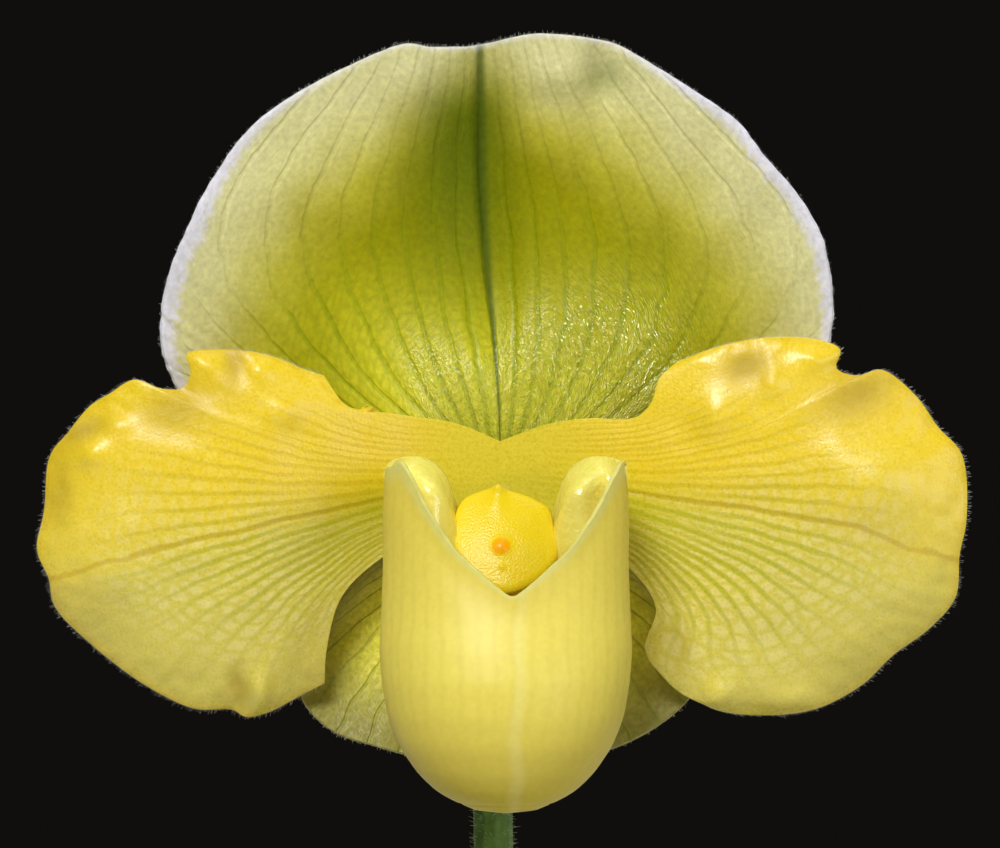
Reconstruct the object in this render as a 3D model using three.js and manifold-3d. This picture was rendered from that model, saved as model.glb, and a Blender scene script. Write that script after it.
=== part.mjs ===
// A potted slipper orchid: one yellow and green flower with a broad hooded dorsal sepal, two waved
// petals and a deep pouch, on a hairy stem that rises from fans of strap leaves in a clay pot of bark.
// Millimetres, +Z up. The origin is the centre of the pot's foot, and the flower looks along -Y.

import * as THREE from "three";
import { mergeVertices } from "three/addons/utils/BufferGeometryUtils.js";
import Module from "manifold-3d";

const wasm = await Module();
wasm.setup();

// Driving dimensions of the pot and its bark
const POT_HEIGHT = 115;
const POT_FOOT_RADIUS = 42;
const POT_SHOULDER_RADIUS = 57;
const POT_RIM_RADIUS = 63.5;
const POT_COLLAR_HEIGHT = 24;
const POT_COLLAR_STEP = 4.2;
const POT_EDGE_ROUNDING = 1.5;
const POT_WALL = 5.5;
const POT_FLOOR = 7;
const DRAIN_COUNT = 3;
const DRAIN_RADIUS = 5;
const DRAIN_CIRCLE_RADIUS = 25;
const BARK_TOP = 98;
const BARK_CHIPS = 66;
const CLEARANCE = 0.3;

// Driving dimensions of the plant
const LEAF_THICKNESS = 1.1;
const LEAF_BASE_Z = 89;
const FLOWER_CENTRE = new THREE.Vector3(0, -20, 352);
const SEPAL_THICKNESS = 0.9;
const PETAL_THICKNESS = 0.9;
const POUCH_WALL = 1.0;
const STEM_RADIUS = 2.5;
const SEED = 20;

const UP = new THREE.Vector3(0, 0, 1);

// Small helpers

const clamp01 = (value) => Math.min(1, Math.max(0, value));

const smoothstep = (low, high, value) => {
  const share = clamp01((value - low) / (high - low));
  return share * share * (3 - 2 * share);
};

const mix = (a, b, share) => a + (b - a) * share;

// A repeatable draw of numbers from 0 to 1.
function seededDraw(seed) {
  let state = seed;
  return () => {
    state = (state * 1664525 + 1013904223) % 4294967296;
    return state / 4294967296;
  };
}

// A point of the flower, from its place across, its height above the flower's centre and how far it
// stands forward of it.
const inFlower = (across, height, forward) =>
  new THREE.Vector3(
    FLOWER_CENTRE.x + across,
    FLOWER_CENTRE.y - forward,
    FLOWER_CENTRE.z + height,
  );

const splineThrough = (rows) =>
  new THREE.CatmullRomCurve3(
    rows.map(([x, y, z = 0]) => new THREE.Vector3(x, y, z)),
    false,
    "centripetal",
  );

// The value at a height in a table of rows [height, value, ...], straight between the rows.
function lookUp(rows, at, column = 1) {
  if (at <= rows[0][0]) return rows[0][column];
  for (let i = 1; i < rows.length; i++) {
    if (at <= rows[i][0]) {
      const share = (at - rows[i - 1][0]) / (rows[i][0] - rows[i - 1][0]);
      return mix(rows[i - 1][column], rows[i][column], share);
    }
  }
  return rows[rows.length - 1][column];
}

// Closed meshes

// A geometry from points and triangles, turned so that its faces point out.
function closedGeometry(points, triangles) {
  let volume = 0;
  for (let i = 0; i < triangles.length; i += 3) {
    const [a, b, c] = [points[triangles[i]], points[triangles[i + 1]], points[triangles[i + 2]]];
    volume += a.dot(b.clone().cross(c));
  }
  const index = volume < 0 ? [...triangles].reverse() : triangles;
  const geometry = new THREE.BufferGeometry();
  const flat = points.flatMap((p) => [p.x, p.y, p.z]);
  geometry.setAttribute("position", new THREE.Float32BufferAttribute(flat, 3));
  geometry.setIndex(index);
  return geometry;
}

// The unit normal of a surface(s, t), from its slopes.
function normalAt(surface, s, t) {
  const step = 0.004;
  const [s0, s1] = [Math.max(0, s - step), Math.min(1, s + step)];
  const [t0, t1] = [Math.max(0, t - step), Math.min(1, t + step)];
  const along = surface(s1, t).sub(surface(s0, t));
  const across = surface(s, t1).sub(surface(s, t0));
  return along.cross(across).normalize();
}

// A thin blade: its face follows surface(s, t), its back lies the thickness behind, and both faces
// are split into triangles alike. facing is 1 or -1, for the side of the surface that is the face.
function blade(surface, alongSteps, acrossSteps, thickness, facing = 1) {
  const points = [];
  const columns = acrossSteps + 1;
  const count = (alongSteps + 1) * columns;
  const backs = [];
  for (let i = 0; i <= alongSteps; i++) {
    for (let j = 0; j <= acrossSteps; j++) {
      const [s, t] = [i / alongSteps, j / acrossSteps];
      const face = surface(s, t);
      const depth = typeof thickness === "function" ? thickness(s, t) : thickness;
      points.push(face);
      backs.push(face.clone().addScaledVector(normalAt(surface, s, t), -depth * facing));
    }
  }
  points.push(...backs);
  const triangles = [];
  const at = (i, j) => i * columns + j;
  for (let i = 0; i < alongSteps; i++) {
    for (let j = 0; j < acrossSteps; j++) {
      const [a, b, c, d] = [at(i, j), at(i, j + 1), at(i + 1, j), at(i + 1, j + 1)];
      triangles.push(a, c, d, a, d, b);
      triangles.push(a + count, d + count, c + count, a + count, b + count, d + count);
    }
  }
  const edge = (a, b) => triangles.push(a, b, b + count, a, b + count, a + count);
  for (let j = 0; j < acrossSteps; j++) {
    edge(at(0, j), at(0, j + 1));
    edge(at(alongSteps, j + 1), at(alongSteps, j));
  }
  for (let i = 0; i < alongSteps; i++) {
    edge(at(i + 1, 0), at(i, 0));
    edge(at(i, acrossSteps), at(i + 1, acrossSteps));
  }
  return closedGeometry(points, triangles);
}

// A solid through rings of points, with the same number of points in each, closed at both ends.
function loft(rings) {
  const sides = rings[0].length;
  const points = rings.flat();
  const triangles = [];
  for (let i = 0; i + 1 < rings.length; i++) {
    for (let j = 0; j < sides; j++) {
      const next = (j + 1) % sides;
      const [a, b] = [i * sides + j, i * sides + next];
      triangles.push(a, b, b + sides, a, b + sides, a + sides);
    }
  }
  [0, rings.length - 1].forEach((end) => {
    const hub = points.length;
    const middle = new THREE.Vector3();
    rings[end].forEach((p) => middle.addScaledVector(p, 1 / sides));
    points.push(middle);
    for (let j = 0; j < sides; j++) {
      const [a, b] = [end * sides + j, end * sides + ((j + 1) % sides)];
      triangles.push(...(end === 0 ? [hub, b, a] : [hub, a, b]));
    }
  });
  return closedGeometry(points, triangles);
}

// Rings round a curve, for loft. radius(u, angle) may give ribs.
function ringsRound(curve, steps, sides, radius, sideways = new THREE.Vector3(1, 0, 0)) {
  return Array.from({ length: steps + 1 }, (_, i) => {
    const u = i / steps;
    const [centre, tangent] = [curve.getPointAt(u), curve.getTangentAt(u)];
    const across = sideways.clone().addScaledVector(tangent, -sideways.dot(tangent)).normalize();
    const other = tangent.clone().cross(across);
    return Array.from({ length: sides }, (_, j) => {
      const angle = (j / sides) * 2 * Math.PI;
      const r = radius(u, angle);
      return centre
        .clone()
        .addScaledVector(across, r * Math.cos(angle))
        .addScaledVector(other, r * Math.sin(angle));
    });
  });
}

// Booleans

function toManifold(geometry) {
  const bare = geometry.clone();
  bare.deleteAttribute("normal");
  bare.deleteAttribute("uv");
  const merged = mergeVertices(bare, 1e-3);
  const mesh = new wasm.Mesh({
    numProp: 3,
    vertProperties: new Float32Array(merged.attributes.position.array),
    triVerts: new Uint32Array(merged.index.array),
  });
  return new wasm.Manifold(mesh);
}

function toGeometry(manifold) {
  const mesh = manifold.getMesh();
  const geometry = new THREE.BufferGeometry();
  geometry.setAttribute("position", new THREE.BufferAttribute(mesh.vertProperties, 3));
  geometry.setIndex(new THREE.BufferAttribute(mesh.triVerts, 1));
  return geometry;
}

// Finishes and the scene graph

const plant = new THREE.Group();

const finish = (color, roughness) =>
  new THREE.MeshStandardMaterial({ color, roughness, metalness: 0, side: THREE.DoubleSide });

const CLAY = finish("#b4653c", 0.85);
const BARK = finish("#5a3a24", 0.95);
const ROOT = finish("#6b5236", 0.9);
const LEAF = finish("#3f6b2a", 0.45);
const STEM = finish("#4f7a2c", 0.7);
const BRACT = finish("#6d8f3a", 0.6);
const OVARY = finish("#7b8f3f", 0.7);
const SEPAL = finish("#a7ad2b", 0.5);
const PETAL = finish("#dcc93a", 0.4);
const POUCH = finish("#dccf56", 0.35);
const STAMINODE = finish("#f0cf2a", 0.35);
const COLUMN = finish("#c9c35a", 0.5);
const POLLEN = finish("#d9a62a", 0.5);

function place(name, geometry, material) {
  const mesh = new THREE.Mesh(geometry, material);
  mesh.name = name;
  plant.add(mesh);
}

// The pot: a tapered clay wall with a thick collar, a flat foot and three drain holes round its
// solid centre.

const potInnerRadius = (z) =>
  POT_FOOT_RADIUS -
  POT_WALL +
  ((POT_SHOULDER_RADIUS - POT_FOOT_RADIUS) * z) / (POT_HEIGHT - POT_COLLAR_HEIGHT);

function makePot() {
  const collarFoot = POT_HEIGHT - POT_COLLAR_HEIGHT;
  const rounding = POT_EDGE_ROUNDING;
  const profile = [
    [0, 0],
    [POT_FOOT_RADIUS - rounding, 0],
    [POT_FOOT_RADIUS, rounding],
    [POT_SHOULDER_RADIUS, collarFoot],
    [POT_SHOULDER_RADIUS + POT_COLLAR_STEP, collarFoot + rounding],
    [POT_RIM_RADIUS, POT_HEIGHT - rounding],
    [POT_RIM_RADIUS - rounding, POT_HEIGHT],
    [potInnerRadius(POT_HEIGHT) + rounding, POT_HEIGHT],
    [potInnerRadius(POT_HEIGHT), POT_HEIGHT - rounding],
    [potInnerRadius(POT_FLOOR), POT_FLOOR],
    [0, POT_FLOOR],
  ].map(([r, z]) => new THREE.Vector2(r, z));
  let pot = toManifold(new THREE.LatheGeometry(profile, 44).rotateX(Math.PI / 2));
  for (let i = 0; i < DRAIN_COUNT; i++) {
    const angle = ((i + 0.25) / DRAIN_COUNT) * 2 * Math.PI;
    const drill = new THREE.CylinderGeometry(DRAIN_RADIUS, DRAIN_RADIUS, 4 * POT_FLOOR, 12)
      .rotateX(Math.PI / 2)
      .translate(
        DRAIN_CIRCLE_RADIUS * Math.cos(angle),
        DRAIN_CIRCLE_RADIUS * Math.sin(angle),
        POT_FLOOR / 2,
      );
    pot = pot.subtract(toManifold(drill));
  }
  place("pot", toGeometry(pot), CLAY);
}

// The leaf fans. Each growth stands at a place in the pot, with its fan turned about the vertical.
// Leaves are listed from the innermost out, and stand on alternate sides: [length, half width, lean at
// the base, lean at the tip, sideways sweep], in millimetres and in degrees from the vertical.

const GROWTHS = [
  {
    name: "a",
    at: [0, 1],
    turn: 7,
    core: 3.5,
    firstSide: 1,
    roots: 4,
    leaves: [
      [112, 14, 3, 40, 1],
      [150, 17, 5, 64, -2],
      [176, 18, 8, 86, -5],
      [186, 18.5, 11, 100, 5],
      [178, 18.5, 16, 112, 6],
      [152, 17.5, 20, 124, -6],
    ],
  },
  {
    name: "b",
    at: [-3, 35],
    turn: 4,
    core: 2.2,
    firstSide: -1,
    roots: 3,
    leaves: [
      [92, 13, 3, 30, 3],
      [132, 15.5, 7, 58, 8],
      [158, 17, 12, 84, 10],
      [146, 16.5, 17, 106, 10],
    ],
  },
  {
    name: "c",
    at: [12, -36],
    turn: -12,
    core: 2,
    firstSide: -1,
    roots: 2,
    leaves: [
      [54, 9, 3, 18, 0],
      [88, 12, 9, 50, -8],
      [102, 13.5, 14, 78, -8],
    ],
  },
];

const NEST_STEP = LEAF_THICKNESS + 0.6;
const KEEL_STEP = 2.3;
const KEEL_FIRST = 6;
const SHEATH_OUTERMOST = 17;
const SHEATH_STEP = 9;
const OPENING = 56;
const FLANK_TURN = 0.3;

const nestHalfGap = (growth, level) => growth.core + level * NEST_STEP;
const keelOffset = (growth, level) => growth.core + KEEL_FIRST + level * KEEL_STEP;
const sideOf = (growth, level) => (level % 2 === 0 ? growth.firstSide : -growth.firstSide);

const radians = THREE.MathUtils.degToRad;

// From a growth's own frame, X in the plane of its fan, into the pot's.
function fromGrowth(growth, point) {
  return point
    .applyAxisAngle(UP, radians(growth.turn))
    .add(new THREE.Vector3(growth.at[0], growth.at[1], 0));
}

// The rows across a leaf stand closer together towards its tip.
const shareOfLength = (share) => 1 - (1 - share) ** 1.25;

// How far a leaf has opened at a share of its length: 0 in its folded sheath, 1 in its blade.
function opened(growth, level, s) {
  const length = growth.leaves[level][0];
  const sheath = SHEATH_OUTERMOST + SHEATH_STEP * (growth.leaves.length - 1 - level);
  return smoothstep(sheath, sheath + OPENING, s * length);
}

// A strap leaf: folded round the next leaf at its base, then opening into a keeled blade that arches
// outwards.
function leafSurface(growth, level) {
  const [length, halfWidth, leanAtBase, leanAtTip, sweep] = growth.leaves[level];
  const side = sideOf(growth, level);
  const [halfGap, keelAt] = [nestHalfGap(growth, level), keelOffset(growth, level)];
  const steps = 120;
  const leanAt = (s) =>
    radians(leanAtBase * smoothstep(0, 22 / length, s) + (leanAtTip - leanAtBase) * s ** 1.35);
  const keel = [new THREE.Vector3(side * keelAt, 0, LEAF_BASE_Z)];
  for (let i = 0; i < steps; i++) {
    const lean = leanAt((i + 0.5) / steps);
    const stride = new THREE.Vector3(side * Math.sin(lean), 0, Math.cos(lean));
    keel.push(keel[i].clone().addScaledVector(stride, length / steps));
  }
  return (share, t) => {
    const s = shareOfLength(share);
    const i = Math.min(steps - 1, Math.floor(s * steps));
    const at = keel[i].clone().lerp(keel[i + 1], s * steps - i);
    const lean = leanAt(s);
    const onward = new THREE.Vector3(side * Math.sin(lean), 0, Math.cos(lean));
    const inward = new THREE.Vector3(-side * Math.cos(lean), 0, Math.sin(lean));
    const v = 2 * t - 1;
    const across =
      Math.abs(v) < 0.5
        ? Math.abs(v) * 2 * FLANK_TURN
        : mix(FLANK_TURN, 1, 2 * Math.abs(v) - 1);
    const open = opened(growth, level, s);
    const fold = radians(74 * open);
    const tip = s > 0.66 ? Math.sqrt(Math.max(0, 1 - ((s - 0.66) / 0.343) ** 2.1)) : 1;
    const width = mix(keelAt + 6, halfWidth, smoothstep(0, 0.55, s)) * tip;
    const reach = across * width;
    const sheath = halfGap * Math.min(1, across / FLANK_TURN) * (1 - open);
    const curl = -2.4 * open * across * across * tip;
    const sidewards = Math.sign(v) * (sheath + reach * Math.sin(fold)) + sweep * s * s;
    return fromGrowth(
      growth,
      at
        .addScaledVector(inward, reach * Math.cos(fold) + curl)
        .addScaledVector(onward, -1.6 * smoothstep(0.93, 1, s) * (1 - across))
        .add(new THREE.Vector3(0, sidewards, 0)),
    );
  };
}

function makeLeaves() {
  for (const growth of GROWTHS) {
    growth.leaves.forEach((_, level) => {
      const thickness = (share, t) => {
        const s = shareOfLength(share);
        const atKeel = Math.abs(t - 0.5) < 0.1 ? 1.5 : 1;
        return LEAF_THICKNESS * mix(mix(atKeel, 1, opened(growth, level, s)), 0.75, s * s);
      };
      const surface = leafSurface(growth, level);
      const leaf = blade(surface, 12, 4, thickness, sideOf(growth, level));
      place(`leaf_${growth.name}${level + 1}`, leaf, LEAF);
    });
  }
}

// The rhizome: a stub under each fan, joined by a creeping stem, with roots that run down into the
// bark. The bark has the same shape cut out of it, a little larger.

const stubHalfLength = (growth) => keelOffset(growth, growth.leaves.length - 1) + 2.4;
const stubHalfWidth = (growth) => nestHalfGap(growth, growth.leaves.length - 1) + 2.2;

// An upright solid of rounded section round a growth, from rows [z, share of the stub's half sizes,
// what is added all round].
function stubSolid(growth, rows) {
  const sides = 16;
  const squared = (value) => Math.sign(value) * Math.abs(value) ** (2 / 3);
  return loft(
    rows.map(([z, share, added]) =>
      Array.from({ length: sides }, (_, j) => {
        const angle = ((j + 0.5) / sides) * 2 * Math.PI;
        const x = (stubHalfLength(growth) * share + added) * squared(Math.cos(angle));
        const y = (stubHalfWidth(growth) * share + added) * squared(Math.sin(angle));
        return fromGrowth(growth, new THREE.Vector3(x, y, z));
      }),
    ),
  );
}

function rootCurves() {
  const draw = seededDraw(SEED);
  const curves = [];
  GROWTHS.forEach((growth, g) => {
    for (let i = 0; i < growth.roots; i++) {
      const heading = ((i + 0.3 * draw()) / growth.roots) * 2 * Math.PI + g;
      const outward = new THREE.Vector3(Math.cos(heading), Math.sin(heading), 0);
      const centre = new THREE.Vector3(growth.at[0], growth.at[1], 0);
      const points = [
        [2, 78],
        [13, 66],
        [16 + 6 * draw(), 46],
        [12 + 8 * draw(), 24 + 6 * draw()],
      ].map(([reach, z]) => {
        const point = centre.clone().addScaledVector(outward, reach);
        return point.clampLength(0, potInnerRadius(z) - 6).setZ(z);
      });
      curves.push(new THREE.CatmullRomCurve3(points, false, "centripetal"));
    }
  });
  return curves;
}

// The whole rhizome, or with a clearance the hollow that the bark leaves for it and for the fans.
function rhizomeSolid(clearance) {
  const pieces = [];
  for (const growth of GROWTHS) {
    const rows = [
      [71 - clearance, 0.4, clearance],
      [78, 0.86, clearance],
      [84, 1, clearance],
      [LEAF_BASE_Z - CLEARANCE, 1, clearance],
    ];
    if (clearance) rows.push([LEAF_BASE_Z + 24, 1, clearance + 4]);
    pieces.push(stubSolid(growth, rows));
  }
  const [a, ...others] = GROWTHS.map(({ at }) => new THREE.Vector3(at[0], at[1], 77));
  for (const other of others) {
    const runner = new THREE.LineCurve3(a, other);
    pieces.push(loft(ringsRound(runner, 1, 8, () => 5 + clearance, UP)));
  }
  for (const curve of rootCurves()) {
    pieces.push(loft(ringsRound(curve, 6, 6, (u) => mix(2.1, 1.2, u) + clearance)));
  }
  return wasm.Manifold.union(pieces.map(toManifold));
}

// The bark: a packed bed with chips standing out of its top, drawn by a seeded rule.

function chipGeometry(draw, centre, size) {
  const box = new THREE.BoxGeometry(...size);
  box.deleteAttribute("normal");
  box.deleteAttribute("uv");
  const chip = mergeVertices(box, 1e-3);
  const position = chip.getAttribute("position");
  for (let i = 0; i < position.count; i++) {
    const corner = new THREE.Vector3().fromBufferAttribute(position, i);
    corner.multiply(new THREE.Vector3(draw(), draw(), draw()).multiplyScalar(0.35).addScalar(0.7));
    position.setXYZ(i, corner.x, corner.y, corner.z);
  }
  const turn = new THREE.Euler((draw() - 0.5) * 1.1, (draw() - 0.5) * 1.1, draw() * 2 * Math.PI);
  return chip
    .applyMatrix4(new THREE.Matrix4().makeRotationFromEuler(turn))
    .translate(centre.x, centre.y, centre.z);
}

// How far inside a growth's oval a point lies: under 1 inside.
function ovalShare(growth, x, y) {
  const away = new THREE.Vector3(x - growth.at[0], y - growth.at[1], 0);
  away.applyAxisAngle(UP, -radians(growth.turn));
  return Math.hypot(away.x / stubHalfLength(growth), away.y / stubHalfWidth(growth));
}

function makeBark() {
  const draw = seededDraw(SEED + 5);
  const foot = POT_FLOOR + CLEARANCE;
  const profile = [
    [0, foot],
    [potInnerRadius(foot) - 2 * CLEARANCE, foot],
    [potInnerRadius(BARK_TOP) - 2 * CLEARANCE, BARK_TOP],
    [0, BARK_TOP + 1.5],
  ].map(([r, z]) => new THREE.Vector2(r, z));
  const bed = toManifold(new THREE.LatheGeometry(profile, 40).rotateX(Math.PI / 2));
  const chips = [];
  const goldenAngle = Math.PI * (3 - Math.sqrt(5));
  for (let i = 0; i < BARK_CHIPS; i++) {
    const radius = (potInnerRadius(BARK_TOP) - 9) * Math.sqrt((i + 0.5) / BARK_CHIPS);
    const angle = i * goldenAngle;
    const size = [mix(14, 23, draw()), mix(9, 14, draw()), mix(6, 9, draw())];
    const lift = mix(-1, 2.2, draw());
    const [x, y] = [radius * Math.cos(angle), radius * Math.sin(angle)];
    const chip = chipGeometry(draw, new THREE.Vector3(x, y, BARK_TOP + lift), size);
    if (GROWTHS.some((growth) => ovalShare(growth, x, y) < 0.9)) continue;
    chips.push(toManifold(chip));
  }
  const inside = new THREE.CylinderGeometry(
    potInnerRadius(POT_HEIGHT) - 2 * CLEARANCE,
    potInnerRadius(POT_FLOOR) - 2 * CLEARANCE,
    POT_HEIGHT - POT_FLOOR,
    40,
  )
    .rotateX(Math.PI / 2)
    .translate(0, 0, (POT_HEIGHT + POT_FLOOR) / 2 + CLEARANCE);
  const bark = wasm.Manifold.union([bed, ...chips])
    .intersect(toManifold(inside))
    .subtract(rhizomeSolid(CLEARANCE));
  const largest = bark
    .decompose()
    .reduce((most, piece) => (piece.volume() > most.volume() ? piece : most));
  place("bark_mix", toGeometry(largest), BARK);
}

// The flower's blades. Each is a fan of veins from a short base to a margin. The margin's rows are
// [across, height, forward], its apex row is where the midrib ends, and the two side edges run from
// the base's corners to the margin's ends. Veins leave the base along lead and arrive at the margin
// as if they came from the focus.

function marginCurve(rows, apexRow) {
  const curve = splineThrough(rows);
  const perRow = 40;
  curve.arcLengthDivisions = (rows.length - 1) * perRow;
  const lengths = curve.getLengths();
  const apex = lengths[apexRow * perRow] / lengths[lengths.length - 1];
  return (t) => curve.getPointAt(t < 0.5 ? 2 * t * apex : mix(apex, 1, 2 * t - 1));
}

function fanSurface({ base, edges, margin, apexRow, focus, lead, body, edgeBlend = 8 }) {
  const rim = marginCurve(margin, apexRow);
  const [low, high] = base.map(([x, z]) => new THREE.Vector2(x, z));
  const [lowEdge, highEdge] = edges.map(splineThrough);
  const heart = new THREE.Vector2(...focus);
  const vein = (s, t) => {
    const root = low.clone().lerp(high, t);
    const end = rim(t);
    const tip = new THREE.Vector2(end.x, end.y);
    const out = new THREE.Vector2(...lead(t)).normalize();
    const p1 = root.clone().addScaledVector(out, 0.4 * root.distanceTo(tip));
    const p2 = tip.clone().lerp(heart, 0.33);
    return new THREE.CubicBezierCurve(root, p1, p2, tip).getPoint(s);
  };
  return (s, t) => {
    const flat = vein(s, t);
    const toLow = lowEdge.getPointAt(s);
    const toHigh = highEdge.getPointAt(s);
    const [atLow, atHigh] = [vein(s, 0), vein(s, 1)];
    const [wLow, wHigh] = [(1 - t) ** edgeBlend, t ** edgeBlend];
    const x = flat.x + wLow * (toLow.x - atLow.x) + wHigh * (toHigh.x - atHigh.x);
    const z = flat.y + wLow * (toLow.y - atLow.y) + wHigh * (toHigh.y - atHigh.y);
    const forward = body(s, t) + (rim(t).z - body(1, t)) * s ** 3;
    return inFlower(x, z, forward);
  };
}

// A petal's broad form: forward of the sepals beyond its narrow claw, then falling back towards both
// margins and the tip.
const petalBody = (s, t) =>
  -1 + 5.2 * smoothstep(0.1, 0.6, s) - 2.6 * (2 * t - 1) ** 2 * s * s - 1.6 * s ** 4;

const RIGHT_PETAL = {
  base: [
    [0.3, -8.4],
    [0.3, 0.9],
  ],
  edges: [
    [
      [0.3, -8.4],
      [3.8, -8.9],
      [10, -11],
      [16.3, -15],
      [19.3, -19.6],
      [18, -24.8],
    ],
    [
      [0.3, 0.9],
      [5.6, 3.1],
      [11, 4],
      [15, 3.4],
      [16.8, 2.5],
    ],
  ],
  margin: [
    [18, -24.8, -0.5],
    [20.4, -28.2, -1.2],
    [24, -29.4, -1.4],
    [25.4, -31.6, 0.8],
    [28.6, -32.7, -0.2],
    [35.3, -32.9, -2.2],
    [40.2, -31.9, -2.6],
    [45.1, -29.2, -2.4],
    [48.8, -25.5, -1.6],
    [53.3, -22.1, -2.2],
    [56.4, -18.2, -1.2],
    [56.8, -12.9, 0.2],
    [57.6, -8.7, 0.2],
    [57.1, -0.6, -1.6],
    [54.2, 2.8, -0.6],
    [51.4, 6.7, 1],
    [47.2, 9.9, 4.2],
    [44.1, 9.2, 4.6],
    [41.6, 10.1, 2.6],
    [42.1, 12.4, 0.6],
    [39.1, 13.7, 0],
    [32.7, 13.9, 4],
    [26.7, 12.7, 4.4],
    [21.9, 10.9, 1.6],
    [19.6, 8.9, 2.6],
    [18.7, 5.5, 3.6],
    [16.8, 2.5, 1.4],
  ],
  apexRow: 12,
  focus: [13, -5],
  lead: (t) => [1, mix(-0.3, 0.3, t)],
  body: petalBody,
};

const LEFT_PETAL = {
  base: [
    [-0.3, -8.4],
    [-0.3, 0.9],
  ],
  edges: [
    [
      [-0.3, -8.4],
      [-3.8, -8.9],
      [-9, -10.4],
      [-14.8, -13.5],
      [-19.6, -18.2],
      [-21.5, -24.8],
    ],
    [
      [-0.3, 0.9],
      [-5.6, 3.3],
      [-10.6, 4.2],
      [-14.6, 4.7],
      [-16.6, 2.7],
    ],
  ],
  margin: [
    [-21.5, -24.8, -0.6],
    [-21.8, -29, -1],
    [-25.2, -30.8, -1.4],
    [-28.8, -32.6, 0.6],
    [-31.4, -33.2, 0.8],
    [-33.4, -32.3, -1.4],
    [-38, -32.2, -1.8],
    [-44.3, -29.2, -2.6],
    [-51.7, -23.5, -2.4],
    [-55.4, -19.4, -1.2],
    [-56, -16, 0.6],
    [-57.5, -12.4, 0],
    [-56.7, -7.6, -1.6],
    [-56, -0.9, -1],
    [-53.6, 2.2, 0.8],
    [-51, 5.4, -0.6],
    [-48.4, 7, -0.8],
    [-45.3, 8.7, 2],
    [-42, 7.6, 4],
    [-39.2, 7.7, 4.2],
    [-38.3, 9.6, 2.2],
    [-38.8, 11.9, 0.2],
    [-35.4, 12.4, 0.6],
    [-31, 12.2, 4],
    [-27.6, 11.4, 2],
    [-24, 9.4, 1.2],
    [-21.5, 9, 3.6],
    [-20, 6.3, 4],
    [-18.8, 3, 1.6],
    [-16.6, 2.7, 2.6],
  ],
  apexRow: 11,
  focus: [-13, -5],
  lead: (t) => [-1, mix(-0.3, 0.3, t)],
  body: petalBody,
};

const DORSAL_SEPAL = {
  base: [
    [-4.2, -2.4],
    [4.2, -2.4],
  ],
  edges: [
    [
      [-4.2, -2.4],
      [-15, -1],
      [-29, 2],
      [-40, 7.2],
    ],
    [
      [4.2, -2.4],
      [15, -1],
      [29, 2.4],
      [39.4, 8.4],
    ],
  ],
  margin: [
    [-40, 7.2, -4],
    [-41.9, 12.4, -2.6],
    [-41.9, 17.4, -1],
    [-40.6, 22.6, 0.6],
    [-38.5, 27.3, 1.6],
    [-35.8, 32.9, 1],
    [-31.1, 39.4, 1.6],
    [-25.5, 43.8, 0.4],
    [-19.3, 47.2, 0.2],
    [-11.8, 50.1, 1.8],
    [-8.1, 49.8, 0.4],
    [-4.7, 49.9, -0.6],
    [-2.4, 50.3, -2.6],
    [0.6, 50.9, -0.8],
    [4.3, 51.4, 0.8],
    [9.9, 51, 1.6],
    [14.3, 50.2, -0.2],
    [18, 48.1, 0.4],
    [24.2, 44.1, 2],
    [29.2, 40.6, 1.2],
    [32.3, 36.6, 1.8],
    [36.6, 31.7, 0.8],
    [39.7, 26.1, 1.4],
    [41, 20.5, 0],
    [41.2, 15.6, -1.6],
    [39.4, 8.4, -4],
  ],
  apexRow: 12,
  focus: [0, -24],
  lead: (t) => {
    const angle = radians(mix(168, 12, t));
    return [Math.cos(angle), Math.sin(angle)];
  },
  body: (s, t) =>
    -2.3 -
    7.2 * Math.sin(0.72 * Math.PI * s) ** 1.2 -
    2.2 * Math.exp(-(((t - 0.5) / 0.05) ** 2)) * smoothstep(0.02, 0.5, s),
};

const SYNSEPAL = {
  base: [
    [-4, -9.1],
    [4, -9.1],
  ],
  edges: [
    [
      [-4, -9.1],
      [-8, -10.6],
      [-12, -12.2],
      [-16, -14.8],
    ],
    [
      [4, -9.1],
      [8, -10.6],
      [12, -12.2],
      [16, -14.8],
    ],
  ],
  margin: [
    [-16, -14.8, -3.6],
    [-20.5, -19.9, -3.8],
    [-24.2, -26.1, -4],
    [-24.7, -30.7, -3],
    [-21.1, -34.8, -2.4],
    [-14.9, -37, -2.2],
    [-7.5, -38.8, -2.6],
    [0, -39.6, -3.4],
    [7.5, -38.6, -2.6],
    [14.3, -37, -2.2],
    [21.1, -33.2, -2.6],
    [24.6, -29.2, -3.2],
    [24.2, -24.8, -4],
    [21.1, -19.3, -4],
    [16, -14.8, -3.6],
  ],
  apexRow: 7,
  focus: [0, 4],
  lead: (t) => {
    const angle = radians(mix(205, 335, t));
    return [Math.cos(angle), Math.sin(angle)];
  },
  body: (s) => -2.7 - 4.4 * Math.sin(0.8 * Math.PI * s),
};

// Thin at the margin, fuller near the base.
const petalThickness = (s) => PETAL_THICKNESS * mix(1.05, 0.8, s);
const sepalThickness = (s) => SEPAL_THICKNESS * mix(0.8, 0.9, s);

function makeBlades() {
  place("petal_right", blade(fanSurface(RIGHT_PETAL), 7, 36, petalThickness), PETAL);
  place("petal_left", blade(fanSurface(LEFT_PETAL), 7, 36, petalThickness, -1), PETAL);
  place("dorsal_sepal", blade(fanSurface(DORSAL_SEPAL), 8, 34, sepalThickness, -1), SEPAL);
  place("synsepal", blade(fanSurface(SYNSEPAL), 6, 18, sepalThickness), SEPAL);
}

// The pouch: a deep slipper with its toe forward. The profile's rows are [height, half width, front,
// back], with front and back forward of the flower's centre. Its rim dips to a point in front, rises
// to an ear on each side, turns in behind and ends in a narrow claw under the column.

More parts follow.
